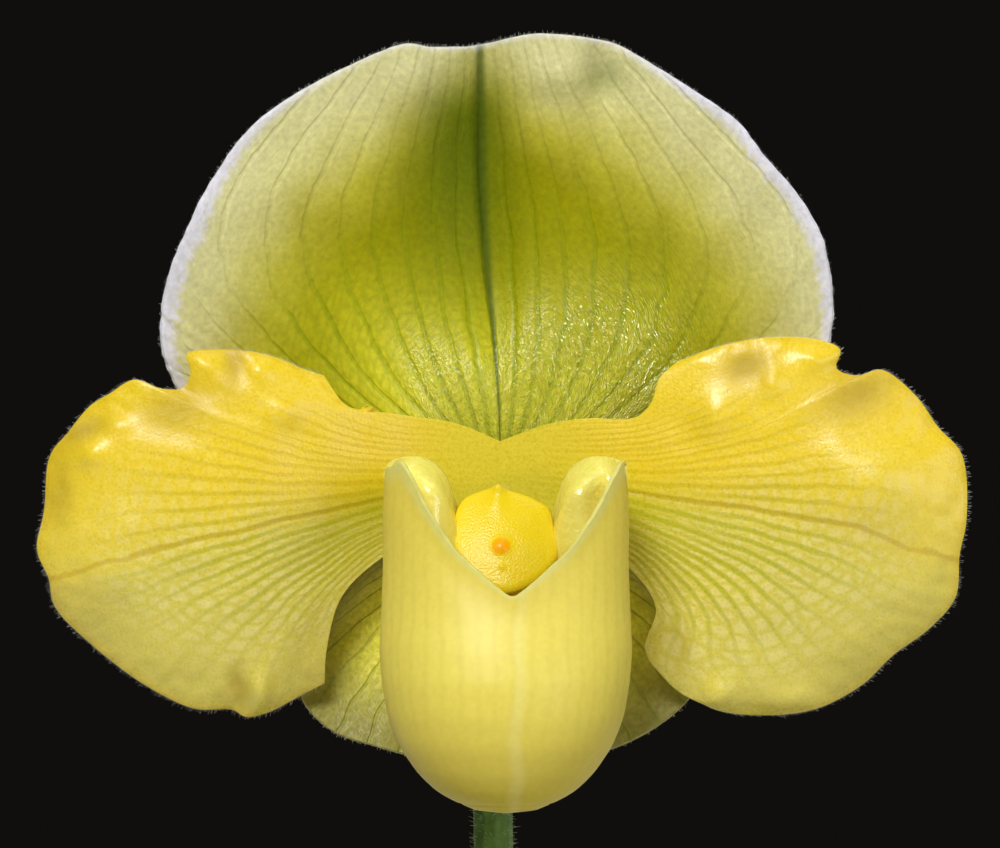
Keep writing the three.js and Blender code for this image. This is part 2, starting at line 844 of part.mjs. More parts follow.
const POUCH_ACROSS = 0.7;
const POUCH_PROFILE = [
  [-43.8, 0, 20, 20],
  [-43.3, 3.8, 24, 16],
  [-41.6, 7.8, 27.2, 12.8],
  [-39, 10.6, 29.4, 10.6],
  [-35.6, 12.9, 31.2, 8.8],
  [-32, 14.3, 32, 7.6],
  [-27.8, 15, 32, 6.6],
  [-24, 15.3, 31, 5.9],
  [-20, 15.1, 29.4, 5.4],
  [-14, 14.9, 27.6, 4.9],
  [-7, 15, 25.6, 4.5],
  [-1, 14.6, 24, 4.4],
];
const POUCH_FRONT_RIM = [
  [0, -17.7],
  [2.9, -15.5],
  [7.3, -11.6],
  [10.2, -7.3],
  [12.4, -3.4],
  [13.6, -1.5],
  [14.4, -1.1],
  [15, -2],
];
const POUCH_BACK_RIM = [
  [0, -9.7],
  [2.2, -9.9],
  [3.4, -12.4],
  [5, -12],
  [6, -9],
  [7, -5],
  [8.4, -2.4],
  [10.6, -1.2],
  [13.4, -0.9],
  [14.3, -1.2],
  [15, -2.2],
];
const POUCH_SKEW = 0.8;
const POUCH_BOWL_TOP = -22;
const POUCH_BOWL_SHARE = 0.6;

function pouchSurface(v, turn) {
  const rimHalf = 15;
  const angle = turn * 2 * Math.PI + POUCH_SKEW / rimHalf;
  const sine = Math.sin(angle);
  const isFront = Math.cos(angle) > 0;
  const rimTable = isFront ? POUCH_FRONT_RIM : POUCH_BACK_RIM;
  const rim = lookUp(rimTable, Math.abs(sine * rimHalf - (isFront ? POUCH_SKEW : 0)));
  const bottom = POUCH_PROFILE[0][0];
  const bowl = v / POUCH_BOWL_SHARE;
  const height =
    v < POUCH_BOWL_SHARE
      ? mix(bottom, POUCH_BOWL_TOP, 1 - Math.cos((bowl * Math.PI) / 2) ** 0.9)
      : mix(POUCH_BOWL_TOP, rim, (v - POUCH_BOWL_SHARE) / (1 - POUCH_BOWL_SHARE));
  const [half, front, back] = [1, 2, 3].map((column) => lookUp(POUCH_PROFILE, height, column));
  const across = half * sine;
  const claw =
    5.6 * smoothstep(-17, -9.8, height) * Math.exp(-((across / 3.2) ** 2)) * (isFront ? 0 : 1);
  const forward = mix(front, back, (1 - Math.cos(angle)) / 2) - claw;
  return inFlower(POUCH_ACROSS + across, height, forward);
}

function makePouch() {
  const [levels, sides] = [12, 32];
  const skins = [0, POUCH_WALL].map((inset) => {
    const points = [];
    for (let i = 1; i <= levels; i++) {
      for (let j = 0; j < sides; j++) {
        const [v, turn] = [i / levels, j / sides];
        const step = 0.004;
        const along = pouchSurface(Math.min(1, v + step), turn).sub(pouchSurface(v - step, turn));
        const across = pouchSurface(v, turn + step).sub(pouchSurface(v, turn - step));
        const outward = across.cross(along).normalize();
        points.push(pouchSurface(v, turn).addScaledVector(outward, -inset));
      }
    }
    points.push(pouchSurface(0, 0).add(new THREE.Vector3(0, 0, inset)));
    return points;
  });
  const count = levels * sides + 1;
  const points = skins.flat();
  const triangles = [];
  const at = (i, j) => i * sides + (j % sides);
  for (let j = 0; j < sides; j++) {
    triangles.push(count - 1, at(0, j), at(0, j + 1));
    triangles.push(2 * count - 1, count + at(0, j + 1), count + at(0, j));
    for (let i = 0; i + 1 < levels; i++) {
      const [a, b, c, d] = [at(i, j), at(i, j + 1), at(i + 1, j), at(i + 1, j + 1)];
      triangles.push(a, d, b, a, c, d);
      triangles.push(count + a, count + b, count + d, count + a, count + d, count + c);
    }
    const [a, b] = [at(levels - 1, j), at(levels - 1, j + 1)];
    triangles.push(a, count + b, b, a, count + a, count + b);
  }
  place("pouch", closedGeometry(points, triangles), POUCH);
}

// The column and what it carries: the staminode, a broad shield that closes the pouch's mouth, the
// stigma under it and an anther at each side.

const COLUMN_HEIGHT = -6.6;
// The staminode's edge: [degrees round from its right, radius].
const STAMINODE_OUTLINE = [
  [0, 6.5],
  [25, 6.7],
  [40, 7.2],
  [62, 6.4],
  [84, 6.6],
  [98, 6.2],
  [116, 6.6],
  [138, 6.9],
  [165, 6.5],
  [205, 6.6],
  [240, 6.7],
  [272, 7],
  [304, 6.8],
  [335, 6.9],
  [360, 6.5],
];

// A thin round piece: a polar grid in the plane of across and up, domed towards the face.
function disc(centre, across, up, rings, sides, radiusAt, dome, thickness) {
  const face = across.clone().cross(up).normalize();
  const layers = [1, -1].map((layer) => {
    const points = [];
    for (let i = 1; i <= rings; i++) {
      for (let j = 0; j < sides; j++) {
        const angle = (j / sides) * 2 * Math.PI;
        const share = i / rings;
        const r = share * radiusAt(angle);
        const lift = layer > 0 ? dome * (1 - share * share) + thickness / 2 : -thickness / 2;
        points.push(
          centre
            .clone()
            .addScaledVector(across, r * Math.cos(angle))
            .addScaledVector(up, r * Math.sin(angle))
            .addScaledVector(face, lift),
        );
      }
    }
    const lift = layer > 0 ? dome + thickness / 2 : -thickness / 2;
    points.push(centre.clone().addScaledVector(face, lift));
    return points;
  });
  const count = rings * sides + 1;
  const triangles = [];
  const at = (i, j) => i * sides + (j % sides);
  for (let j = 0; j < sides; j++) {
    triangles.push(count - 1, at(0, j), at(0, j + 1));
    triangles.push(2 * count - 1, count + at(0, j + 1), count + at(0, j));
    for (let i = 0; i + 1 < rings; i++) {
      const [a, b, c, d] = [at(i, j), at(i, j + 1), at(i + 1, j), at(i + 1, j + 1)];
      triangles.push(a, c, d, a, d, b);
      triangles.push(count + a, count + d, count + c, count + a, count + b, count + d);
    }
    const [a, b] = [at(rings - 1, j), at(rings - 1, j + 1)];
    triangles.push(a, count + a, count + b, a, count + b, b);
  }
  return closedGeometry(layers.flat(), triangles);
}

function makeColumn() {
  const root = inFlower(0, COLUMN_HEIGHT + 1.2, -0.3);
  const neck = inFlower(0.2, COLUMN_HEIGHT + 0.6, 3.5);
  const head = inFlower(0.5, COLUMN_HEIGHT - 0.4, 6.1);
  const curve = new THREE.CatmullRomCurve3([root, neck, head]);
  const columnRadius = (u) => mix(2.3, 2.7, smoothstep(0.3, 1, u));
  place("column", loft(ringsRound(curve, 5, 14, columnRadius)), COLUMN);

  const tilt = radians(27);
  const across = new THREE.Vector3(1, 0, 0);
  const up = new THREE.Vector3(0, Math.sin(tilt), Math.cos(tilt));
  const outline = (angle) => lookUp(STAMINODE_OUTLINE, THREE.MathUtils.radToDeg(angle));
  const shield = inFlower(0.6, -10.8, 10.4);
  place("staminode", disc(shield, across, up, 3, 26, outline, 1, 1.2), STAMINODE);

  const below = inFlower(0.4, COLUMN_HEIGHT - 4, 5.9);
  const forward = new THREE.Vector3(0, -1, 0);
  place("stigma", disc(below, across, forward, 2, 12, () => 2.5, 0.8, 0.8), COLUMN);

  [-1, 1].forEach((side) => {
    const anther = new THREE.SphereGeometry(1.5, 10, 6)
      .scale(0.9, 1.25, 1)
      .translate(side * 4.3, 0, 0);
    const at = inFlower(0.3, COLUMN_HEIGHT, 4.6);
    anther.translate(at.x, at.y, at.z);
    anther.deleteAttribute("normal");
    anther.deleteAttribute("uv");
    const name = side < 0 ? "anther_left" : "anther_right";
    place(name, toGeometry(toManifold(anther)), POLLEN);
  });
}

// The ovary behind the flower, the bract that clasps it, and the stem down to the fan.

const STEM_TOP = inFlower(-1, -44, -26);
const STEM_FOOT = new THREE.Vector3(GROWTHS[0].at[0], GROWTHS[0].at[1], LEAF_BASE_Z);

const stemCurve = () =>
  new THREE.CatmullRomCurve3(
    [
      STEM_FOOT.clone(),
      STEM_FOOT.clone().add(new THREE.Vector3(0, 0, 55)),
      STEM_FOOT.clone().add(new THREE.Vector3(0.5, 1.4, 110)),
      STEM_TOP.clone().add(new THREE.Vector3(0.8, -0.8, -50)),
      STEM_TOP.clone().add(new THREE.Vector3(0, 0, -CLEARANCE)),
    ],
    false,
    "centripetal",
  );

const ovaryCurve = () =>
  new THREE.CatmullRomCurve3(
    [
      STEM_TOP.clone(),
      inFlower(-1, -34, -26),
      inFlower(-0.8, -22, -24.4),
      inFlower(-0.5, -12, -19),
      inFlower(-0.2, -6.2, -11),
      inFlower(0, -4.6, -3.2),
    ],
    false,
    "centripetal",
  );

function makeStem() {
  const stem = (u) => STEM_RADIUS * mix(1.12, 1, u);
  place("stem", loft(ringsRound(stemCurve(), 18, 10, stem)), STEM);
  const ovary = (u, angle) => {
    const swell = 2.5 + 1.1 * Math.sin(Math.PI * clamp01(u * 1.15)) + 1.5 * smoothstep(0.86, 1, u);
    const rib = 0.28 * Math.sin(Math.PI * u) * Math.cos(6 * angle);
    return swell + rib;
  };
  place("ovary", loft(ringsRound(ovaryCurve(), 12, 18, ovary)), OVARY);
}

// A folded bract: it clasps the ovary's foot from behind, and its keel runs up to a point.
function bractSurface(s, t) {
  const along = ovaryCurve().getPointAt(mix(0.01, 0.62, s));
  const v = 2 * t - 1;
  const wrap = radians(mix(158, 40, s ** 1.4)) * v;
  const radius = mix(3.7, 6.8, smoothstep(0, 0.4, s)) + 1.6 * s;
  return new THREE.Vector3(
    along.x + radius * Math.sin(wrap),
    along.y + radius * Math.cos(wrap),
    STEM_TOP.z + 0.4 + 37 * s * (1 - 0.28 * v * v * s),
  );
}

function makeBract() {
  place("bract", blade(bractSurface, 8, 10, (s) => mix(0.9, 0.7, s), 1), BRACT);
}

makePot();
place("rhizome", toGeometry(rhizomeSolid(0)), ROOT);
makeBark();
makeLeaves();
makeStem();
makeBract();
makeBlades();
makePouch();
makeColumn();

export default plant;
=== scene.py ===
"""A potted slipper orchid: a yellow-green flower on a hairy stem, strap leaves, bark and a clay pot.

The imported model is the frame. Every piece is shaped in millimetres in the pot's frame, with the
flower looking along -Y, and is brought to metres as it becomes a mesh.
"""

import logging
import math
import random
from collections.abc import Callable, Iterable, Sequence
from dataclasses import dataclass
from enum import Enum

import bmesh
import bpy
from mathutils import Matrix, Vector, noise


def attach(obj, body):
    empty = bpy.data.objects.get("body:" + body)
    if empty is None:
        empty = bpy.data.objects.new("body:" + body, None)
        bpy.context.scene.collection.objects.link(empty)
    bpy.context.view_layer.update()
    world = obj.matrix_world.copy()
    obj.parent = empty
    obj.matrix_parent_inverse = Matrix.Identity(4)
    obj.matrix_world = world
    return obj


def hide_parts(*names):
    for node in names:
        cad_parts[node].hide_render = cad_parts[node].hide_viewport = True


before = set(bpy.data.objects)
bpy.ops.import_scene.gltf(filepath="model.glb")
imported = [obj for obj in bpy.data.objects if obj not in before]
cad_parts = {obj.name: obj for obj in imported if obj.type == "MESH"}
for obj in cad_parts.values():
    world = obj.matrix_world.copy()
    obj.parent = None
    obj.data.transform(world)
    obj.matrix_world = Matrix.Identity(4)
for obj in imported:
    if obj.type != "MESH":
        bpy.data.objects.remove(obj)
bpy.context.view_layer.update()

log = logging.getLogger("orchid")

MM = 0.001
WELD = 1e-6
BODY = "root"
UP = Vector((0, 0, 1))
ACROSS = Vector((1, 0, 0))
FORWARD = Vector((0, -1, 0))
FLOWER_CENTRE = Vector((0, -20, 352))

Place = Callable[[float, float], Vector]
Chart = Callable[[float, float], tuple[float, float]]


# Small helpers


def clamp01(value: float) -> float:
    """Keep a value between 0 and 1."""
    return min(1.0, max(0.0, value))


def smoothstep(low: float, high: float, value: float) -> float:
    """Rise smoothly from 0 at low to 1 at high."""
    share = clamp01((value - low) / (high - low))
    return share * share * (3 - 2 * share)


def mix(a: float, b: float, share: float) -> float:
    """Go straight from a to b."""
    return a + (b - a) * share


def bell(value: float, centre: float, reach: float) -> float:
    """A smooth bump of height 1 round a centre."""
    return math.exp(-(((value - centre) / reach) ** 2))


def look_up(rows: Sequence[Sequence[float]], at: float, column: int = 1) -> float:
    """Read a table of rows [place, value, ...], straight between its rows.

    Args:
        rows: The table, in rising order of place.
        at: The place to read at.
        column: Which value of the row to read.

    Returns:
        The value there, or the end row's beyond the table.
    """
    if at <= rows[0][0]:
        return rows[0][column]
    for before, after in zip(rows, rows[1:]):
        if at <= after[0]:
            return mix(before[column], after[column], (at - before[0]) / (after[0] - before[0]))
    return rows[-1][column]


def eased(reading: Callable[[float], float], at: float, steps: Sequence[float]) -> float:
    """The mean of a reading at a few steps round a place, which eases its corners."""
    return sum(reading(at + step) for step in steps) / len(steps)


def in_flower(across: float, height: float, forward: float) -> Vector:
    """A point of the flower, from its place across, up and forward of the flower's centre."""
    return FLOWER_CENTRE + Vector((across, -forward, height))


def grain(point: Vector, size: float, seed: float = 0.0) -> float:
    """Smooth noise from -1 to 1 with bumps of about a given size in millimetres."""
    return noise.noise(point / size + Vector((seed, 3.7 * seed, -seed)))


def linear(code: str) -> tuple[float, float, float, float]:
    """Turn an sRGB colour such as #c0ffee into linear red, green, blue and alpha."""
    channels = [int(code[i : i + 2], 16) / 255 for i in (1, 3, 5)]
    red, green, blue = (
        c / 12.92 if c <= 0.04045 else ((c + 0.055) / 1.055) ** 2.4 for c in channels
    )
    return red, green, blue, 1.0


def hermite(start: Vector, end: Vector, leaving: Vector, arriving: Vector, share: float) -> Vector:
    """A point of the curve that leaves one place and arrives at another with given speeds."""
    square, cube = share * share, share**3
    return (
        start * (2 * cube - 3 * square + 1)
        + leaving * (cube - 2 * square + share)
        + end * (3 * square - 2 * cube)
        + arriving * (cube - square)
    )


class Spline:
    """A centripetal Catmull-Rom curve through points, read by the share of its length."""

    STEPS_PER_ROW = 40

    def __init__(self, points: Iterable[Sequence[float]]) -> None:
        """Take the points and measure the curve.

        Args:
            points: Places of two or three coordinates.
        """
        self.points = [Vector((*p, 0.0)[:3]) for p in points]
        last = len(self.points) - 1
        steps = last * self.STEPS_PER_ROW
        samples = [self.raw(i * last / steps) for i in range(steps + 1)]
        self.lengths = [0.0]
        for before, after in zip(samples, samples[1:]):
            self.lengths.append(self.lengths[-1] + (after - before).length)

    def raw(self, parameter: float) -> Vector:
        """The point at a row number, with fractions between the rows."""
        points, last = self.points, len(self.points) - 1
        row = min(last - 1, int(parameter))
        share = parameter - row
        p1, p2 = points[row], points[row + 1]
        p0 = points[row - 1] if row > 0 else 2 * p1 - p2
        p3 = points[row + 2] if row + 2 <= last else 2 * p2 - p1
        d0, d1, d2 = (
            max((b - a).length ** 0.5, 1e-4) for a, b in ((p0, p1), (p1, p2), (p2, p3))
        )
        out = ((p1 - p0) / d0 - (p2 - p0) / (d0 + d1) + (p2 - p1) / d1) * d1
        into = ((p2 - p1) / d1 - (p3 - p1) / (d1 + d2) + (p3 - p2) / d2) * d1
        return hermite(p1, p2, out, into, share)

    @property
    def length(self) -> float:
        """The whole length."""
        return self.lengths[-1]

    def share_of_row(self, row: int) -> float:
        """The share of the length at which a row lies."""
        return self.lengths[row * self.STEPS_PER_ROW] / self.length

    def at(self, share: float) -> Vector:
        """The point at a share of the length."""
        target = clamp01(share) * self.length
        low, high = 0, len(self.lengths) - 1
        while high - low > 1:
            middle = (low + high) // 2
            if self.lengths[middle] <= target:
                low = middle
            else:
                high = middle
        step = max(self.lengths[high] - self.lengths[low], 1e-9)
        return self.raw((low + (target - self.lengths[low]) / step) / self.STEPS_PER_ROW)

    def along(self, share: float) -> Vector:
        """The unit direction of travel at a share of the length."""
        step = 0.002
        return (self.at(share + step) - self.at(share - step)).normalized()


# Meshes


def surface(
    name: str,
    steps: tuple[int, int],
    place: Place,
    charts: dict[str, Chart] | None = None,
    faces_to: Vector | None = None,
    wraps: bool = False,
    capped: bool = True,
) -> bpy.types.Mesh:
    """Bend a grid into a surface.

    Args:
        name: The mesh's name.
        steps: How many faces it has along and across.
        place: Where the point (along, across) lies, in millimetres, with both from 0 to 1.
        charts: UV maps to write, by name, each from (along, across).
        faces_to: The direction that its faces look in on the whole, or None for outwards.
        wraps: Whether its two sides meet, as on a tube, and its ends may close to points.
        capped: Whether the open ends of one that wraps are closed.

    Returns:
        The mesh, in metres and smooth.
    """
    bm = bmesh.new()
    bmesh.ops.create_grid(bm, x_segments=steps[1], y_segments=steps[0], size=1)
    spots = {v: ((v.co.y + 1) / 2, (v.co.x + 1) / 2) for v in bm.verts}
    for chart_name, chart in (charts or {}).items():
        layer = bm.loops.layers.uv.new(chart_name)
        marks = {vert: chart(*spot) for vert, spot in spots.items()}
        for face in bm.faces:
            for loop in face.loops:
                loop[layer].uv = marks[loop.vert]
    for vert, spot in spots.items():
        vert.co = place(*spot) * MM
    if wraps:
        bmesh.ops.remove_doubles(bm, verts=bm.verts, dist=1e-7)
        if capped:
            rims = [edge for edge in bm.edges if edge.is_boundary]
            bmesh.ops.holes_fill(bm, edges=rims)
    bm.normal_update()
    centre = sum((vert.co for vert in bm.verts), Vector()) / len(bm.verts)
    facing = sum(
        face.normal.dot(faces_to or face.calc_center_median() - centre) * face.calc_area()
        for face in bm.faces
    )
    if facing < 0:
        bmesh.ops.reverse_faces(bm, faces=bm.faces)
    return to_mesh(bm, name)


def to_mesh(bm: bmesh.types.BMesh, name: str, smooth: bool = True) -> bpy.types.Mesh:
    """Turn a bmesh into a mesh and free it."""
    for face in bm.faces:
        face.smooth = smooth
    mesh = bpy.data.meshes.new(name)
    bm.to_mesh(mesh)
    bm.free()
    return mesh


def put(name: str, data: bpy.types.ID) -> bpy.types.Object:
    """Put a new object in the scene."""
    item = bpy.data.objects.new(name, data)
    bpy.context.scene.collection.objects.link(item)
    return item


def lathe(outline: Sequence[tuple[float, float]], steps: int) -> bmesh.types.BMesh:
    """Turn half a section, of radii and heights, round the Z axis."""
    bm = bmesh.new()
    corners = [bm.verts.new((radius * MM, 0, z * MM)) for radius, z in outline]
    edges = [bm.edges.new(pair) for pair in zip(corners, corners[1:])]
    bmesh.ops.spin(
        bm, geom=corners + edges, axis=UP, cent=(0, 0, 0), angle=math.tau, steps=steps,
        use_merge=True,
    )
    bmesh.ops.remove_doubles(bm, verts=bm.verts, dist=WELD)
    bmesh.ops.recalc_face_normals(bm, faces=bm.faces)
    return bm


def tube(
    name: str,
    curve: Spline,
    steps: tuple[int, int],
    radius: Callable[[float, float], float],
    charts: dict[str, Chart] | None = None,
) -> bpy.types.Mesh:
    """A closed round form along a curve.

    Args:
        name: The mesh's name.
        curve: Its middle line.
        steps: How many faces it has along and round.
        radius: Its radius at a share of the length and an angle.
        charts: UV maps to write, by name.

    Returns:
        The mesh, in metres.
    """

    def place(along: float, turn: float) -> Vector:
        angle = turn * math.tau
        return around(curve, along, angle, radius(along, angle))

    return surface(name, steps, place, charts, wraps=True)


def around(curve: Spline, along: float, angle: float, radius: float) -> Vector:
    """A point beside a curve, at an angle and a distance round it."""
    tangent = curve.along(along)
    side = (ACROSS - tangent * ACROSS.dot(tangent)).normalized()
    other = tangent.cross(side)
    return curve.at(along) + side * radius * math.cos(angle) + other * radius * math.sin(angle)


def scatter(
    name: str,
    shapes: Sequence[bpy.types.Mesh],
    spots: Iterable[Matrix],
    smooth: bool = True,
) -> bpy.types.Mesh:
    """Join many copies of a few shapes, and remove the shapes.

    Args:
        name: The joined mesh's name.
        shapes: The shapes, used in turn.
        spots: Where each copy goes.
        smooth: Whether its faces are smooth.

    Returns:
        The joined mesh.
    """
    bm = bmesh.new()
    for number, spot in enumerate(spots):
        copy = shapes[number % len(shapes)].copy()
        copy.transform(spot)
        bm.from_mesh(copy)
        bpy.data.meshes.remove(copy)
    for shape in shapes:
        bpy.data.meshes.remove(shape)
    return to_mesh(bm, name, smooth)


def frame_at(place: Vector, heading: Vector, size: Vector) -> Matrix:
    """A transform that stands a shape's Z axis along a heading, in metres from millimetres.

    Args:
        place: Where the shape's origin goes, in millimetres.
        heading: The direction of its Z axis.
        size: Its scale along each of its own axes.

    Returns:
        The transform.
    """
    turn = heading.to_track_quat("Z", "Y").to_matrix().to_4x4()
    return Matrix.Translation(place * MM) @ turn @ Matrix.Diagonal((*size, 1))


class Slot(Enum):
    """The record's material slots, one named for each new piece."""

    CLAY = "clay"
    BARK = "bark"
    LEAF = "leaf"
    STEM = "stem"
    BRACT = "bract"
    OVARY = "ovary"
    SEPAL = "sepal"
    PETAL = "petal"
    POUCH = "pouch"
    STAMINODE = "staminode"
    COLUMN = "column"
    POLLEN = "pollen"


def add_piece(
    name: str,
    mesh: bpy.types.Mesh,
    material: bpy.types.Material,
    slot: Slot,
    stands_for: Sequence[str] = (),
) -> bpy.types.Object:
    """Put a piece in the scene, hang it from the body and hide the CAD nodes that it replaces.

    Args:
        name: The piece's name.
        mesh: Its shape.
        material: Its finish.
        slot: The record's slot for it. It is not used.
        stands_for: The CAD nodes that it replaces.

    Returns:
        The new object.
    """
    piece = put(name, mesh)
    mesh.materials.append(material)
    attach(piece, BODY)
    if stands_for:
        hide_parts(*stands_for)
    log.info("%s: %d faces, %s", name, len(mesh.polygons), material.name)
    return piece


def give_body(piece: bpy.types.Object, thickness: float, rounding: float) -> None:
    """Give an open surface a thickness behind it and a rounded edge.

    Args:
        piece: The surface.
        thickness: How thick it becomes, in millimetres.
        rounding: How far its edges are rounded, in millimetres.
    """
    wall = piece.modifiers.new("thickness", "SOLIDIFY")
    wall.thickness = thickness * MM
    wall.offset = -1
    wall.use_quality_normals = True
    edge = piece.modifiers.new("edge", "BEVEL")
    edge.width = rounding * MM
    edge.segments = 2
    edge.limit_method = "ANGLE"
    edge.angle_limit = math.radians(50)


# Finishes

MIX = "ShaderNodeMix"
RANGE = "ShaderNodeMapRange"
MATH = "ShaderNodeMath"
NOISE = "ShaderNodeTexNoise"
CELLS = "ShaderNodeTexVoronoi"
SPLIT = "ShaderNodeSeparateXYZ"
COMBINE = "ShaderNodeCombineXYZ"
BUMP = "ShaderNodeBump"

# What a node of these kinds is set to where nothing else is said
USUAL = {
    MIX: {"data_type": "RGBA"},
    MATH: {"operation": "MULTIPLY"},
    RANGE: {"interpolation_type": "SMOOTHSTEP"},
}
STRAIGHT = {"interpolation_type": "LINEAR"}

Socket = bpy.types.NodeSocket


class Finish:
    """A material while its nodes are laid out."""

    def __init__(self, name: str, **values: float | tuple[float, ...]) -> None:
        """Start a material.

        Args:
            name: The material's name.
            **values: Settings of its shader, with underscores for spaces.
        """
        self.material = bpy.data.materials.new(name)
        self.material.use_nodes = True
        self.tree = self.material.node_tree
        self.shader = self.tree.nodes["Principled BSDF"]
        for key, value in values.items():
            self.shader.inputs[self.socket_name(key)].default_value = value
        self.place = self.add("ShaderNodeTexCoord", out="Object")

    @staticmethod
    def socket_name(key: str) -> str:
        """The shader's own name for an input, such as Base Color for base_color."""
        return key.replace("_", " ").title().replace("Ior", "IOR")

    def add(
        self,
        kind: str,
        *inputs: Socket | float | str | tuple[float, ...],
        out: str | None = None,
        **settings: Socket | float | str | tuple[float, ...],
    ) -> Socket:
        """Add a node with its settings and links.

        Args:
            kind: The node's type.
            *inputs: Values, colour codes or sockets for its inputs in use, in their order.
            out: The output to return, or None for the first in use.
            **settings: The node's own settings, and values or sockets for inputs by name.

        Returns:
            The chosen output.
        """
        node = self.tree.nodes.new(kind)
        named = []
        for key, value in {**USUAL.get(kind, {}), **settings}.items():
            if self.socket_name(key) in node.inputs:
                named.append((node.inputs[self.socket_name(key)], value))
            else:
                setattr(node, key, value)
        in_use = [socket for socket in node.inputs if socket.enabled]
        for socket, value in [*zip(in_use, inputs), *named]:
            if isinstance(value, Socket):
                self.tree.links.new(value, socket)
            else:
                socket.default_value = linear(value) if isinstance(value, str) else value
        if out is not None:
            return node.outputs[out]
        return next(socket for socket in node.outputs if socket.enabled)

    def chart(self, name: str) -> tuple[Socket, Socket]:
        """The two coordinates of a UV map."""
        first = self.add(SPLIT, self.add("ShaderNodeUVMap", uv_map=name), out="X")
        return first, first.node.outputs["Y"]

    def tint(self, colour: Socket | str, code: str, value: Socket, *span: float) -> Socket:
        """Tint a colour where a value lies in a span: from, to, share at from, share at to."""
        return self.add(MIX, self.add(RANGE, value, *span), colour, code)

    def shade(self, colour: Socket | str, value: Socket, *span: float) -> Socket:
        """Darken or lighten a colour by a value: from, to, factor at from, factor at to."""
        return self.add(
            MIX, 1.0, colour, self.add(RANGE, value, *span, **STRAIGHT), blend_type="MULTIPLY"
        )

    def patches(self, codes: tuple[str, str], scale: float, detail: float, *span: float) -> Socket:
        """Two colours in soft patches, which change over where their noise lies in a span."""
        cloud = self.add(NOISE, self.place, scale, detail)
        return self.add(MIX, self.add(RANGE, cloud, *span), *codes)

    def link(self, **sockets: Socket) -> bpy.types.Material:
        """Link sockets to the shader's inputs, and return the finished material."""
        for key, socket in sockets.items():
            self.tree.links.new(socket, self.shader.inputs[self.socket_name(key)])
        return self.material


def lay_veins(
    finish: Finish,
    number: Socket,
    pitch: Socket,
    width: tuple[float, float],
    wander: tuple[float, float],
    offset: float = 0.0,
) -> tuple[Socket, Socket]:
    """Lay veins where a vein number is whole.

    Args:
        finish: The material.
        number: The vein number.
        pitch: The space between two veins in millimetres.
        width: How far from its middle a vein starts and ends to fade, in millimetres.
        wander: The scale of the noise that a vein follows, and how far, as a share of the space.
        offset: Where the veins lie between whole numbers.

    Returns:
        The vein mask and the vein number with its wandering.
    """
    wave = finish.add(NOISE, finish.place, wander[0], 2.0)
    shift = finish.add(MATH, wave, 0.5, operation="SUBTRACT")
    moved = finish.add(MATH, shift, wander[1], number, operation="MULTIPLY_ADD")
    moved = finish.add(MATH, moved, offset, operation="ADD")
    nearest = finish.add(MATH, moved, 0.5, operation="PINGPONG")
    distance = finish.add(MATH, nearest, pitch)
    return finish.add(RANGE, distance, *width, 1.0, 0.0), moved


def tissue_veins(
    finish: Finish, width: float, wander: float, offset: float = 0.0
) -> tuple[Socket, Socket, Socket, Socket]:
    """Lay the veins of a blade from its chart.

    Args:
        finish: The material.
        width: A vein's width in millimetres.
        wander: How far a vein wanders, as a share of the space between two.
        offset: Where the veins lie between whole numbers.

    Returns:
        The vein mask, the vein number, the distance from the margin in millimetres and the place
        along the margin in millimetres.
    """
    number, pitch = finish.chart("veins")
    along, inward = finish.chart("edge")
    mask, _ = lay_veins(finish, number, pitch, (width * 0.2, width), (170.0, wander), offset)
    return mask, number, inward, along


def tissue_net(finish: Finish, number: Socket, inward: Socket, cell: float) -> Socket:
    """Lay the fine net between the veins, and return its mask.

    Args:
        finish: The material.
        number: The vein number.
        inward: The distance from the margin in millimetres.
        cell: The length of a mesh of the net in millimetres.
    """
    length = finish.add(MATH, inward, cell, operation="DIVIDE")
    chart = finish.add(COMBINE, number, length)
    bend = finish.add(NOISE, chart, 1.3, 1.0, out="Color")
    bent = finish.add(MIX, 0.12, chart, bend)
    gap = finish.add(
        CELLS, bent, 2.0, randomness=0.85, feature="DISTANCE_TO_EDGE", voronoi_dimensions="2D"
    )
    return finish.add(RANGE, gap, 0.02, 0.3, 1.0, 0.0)


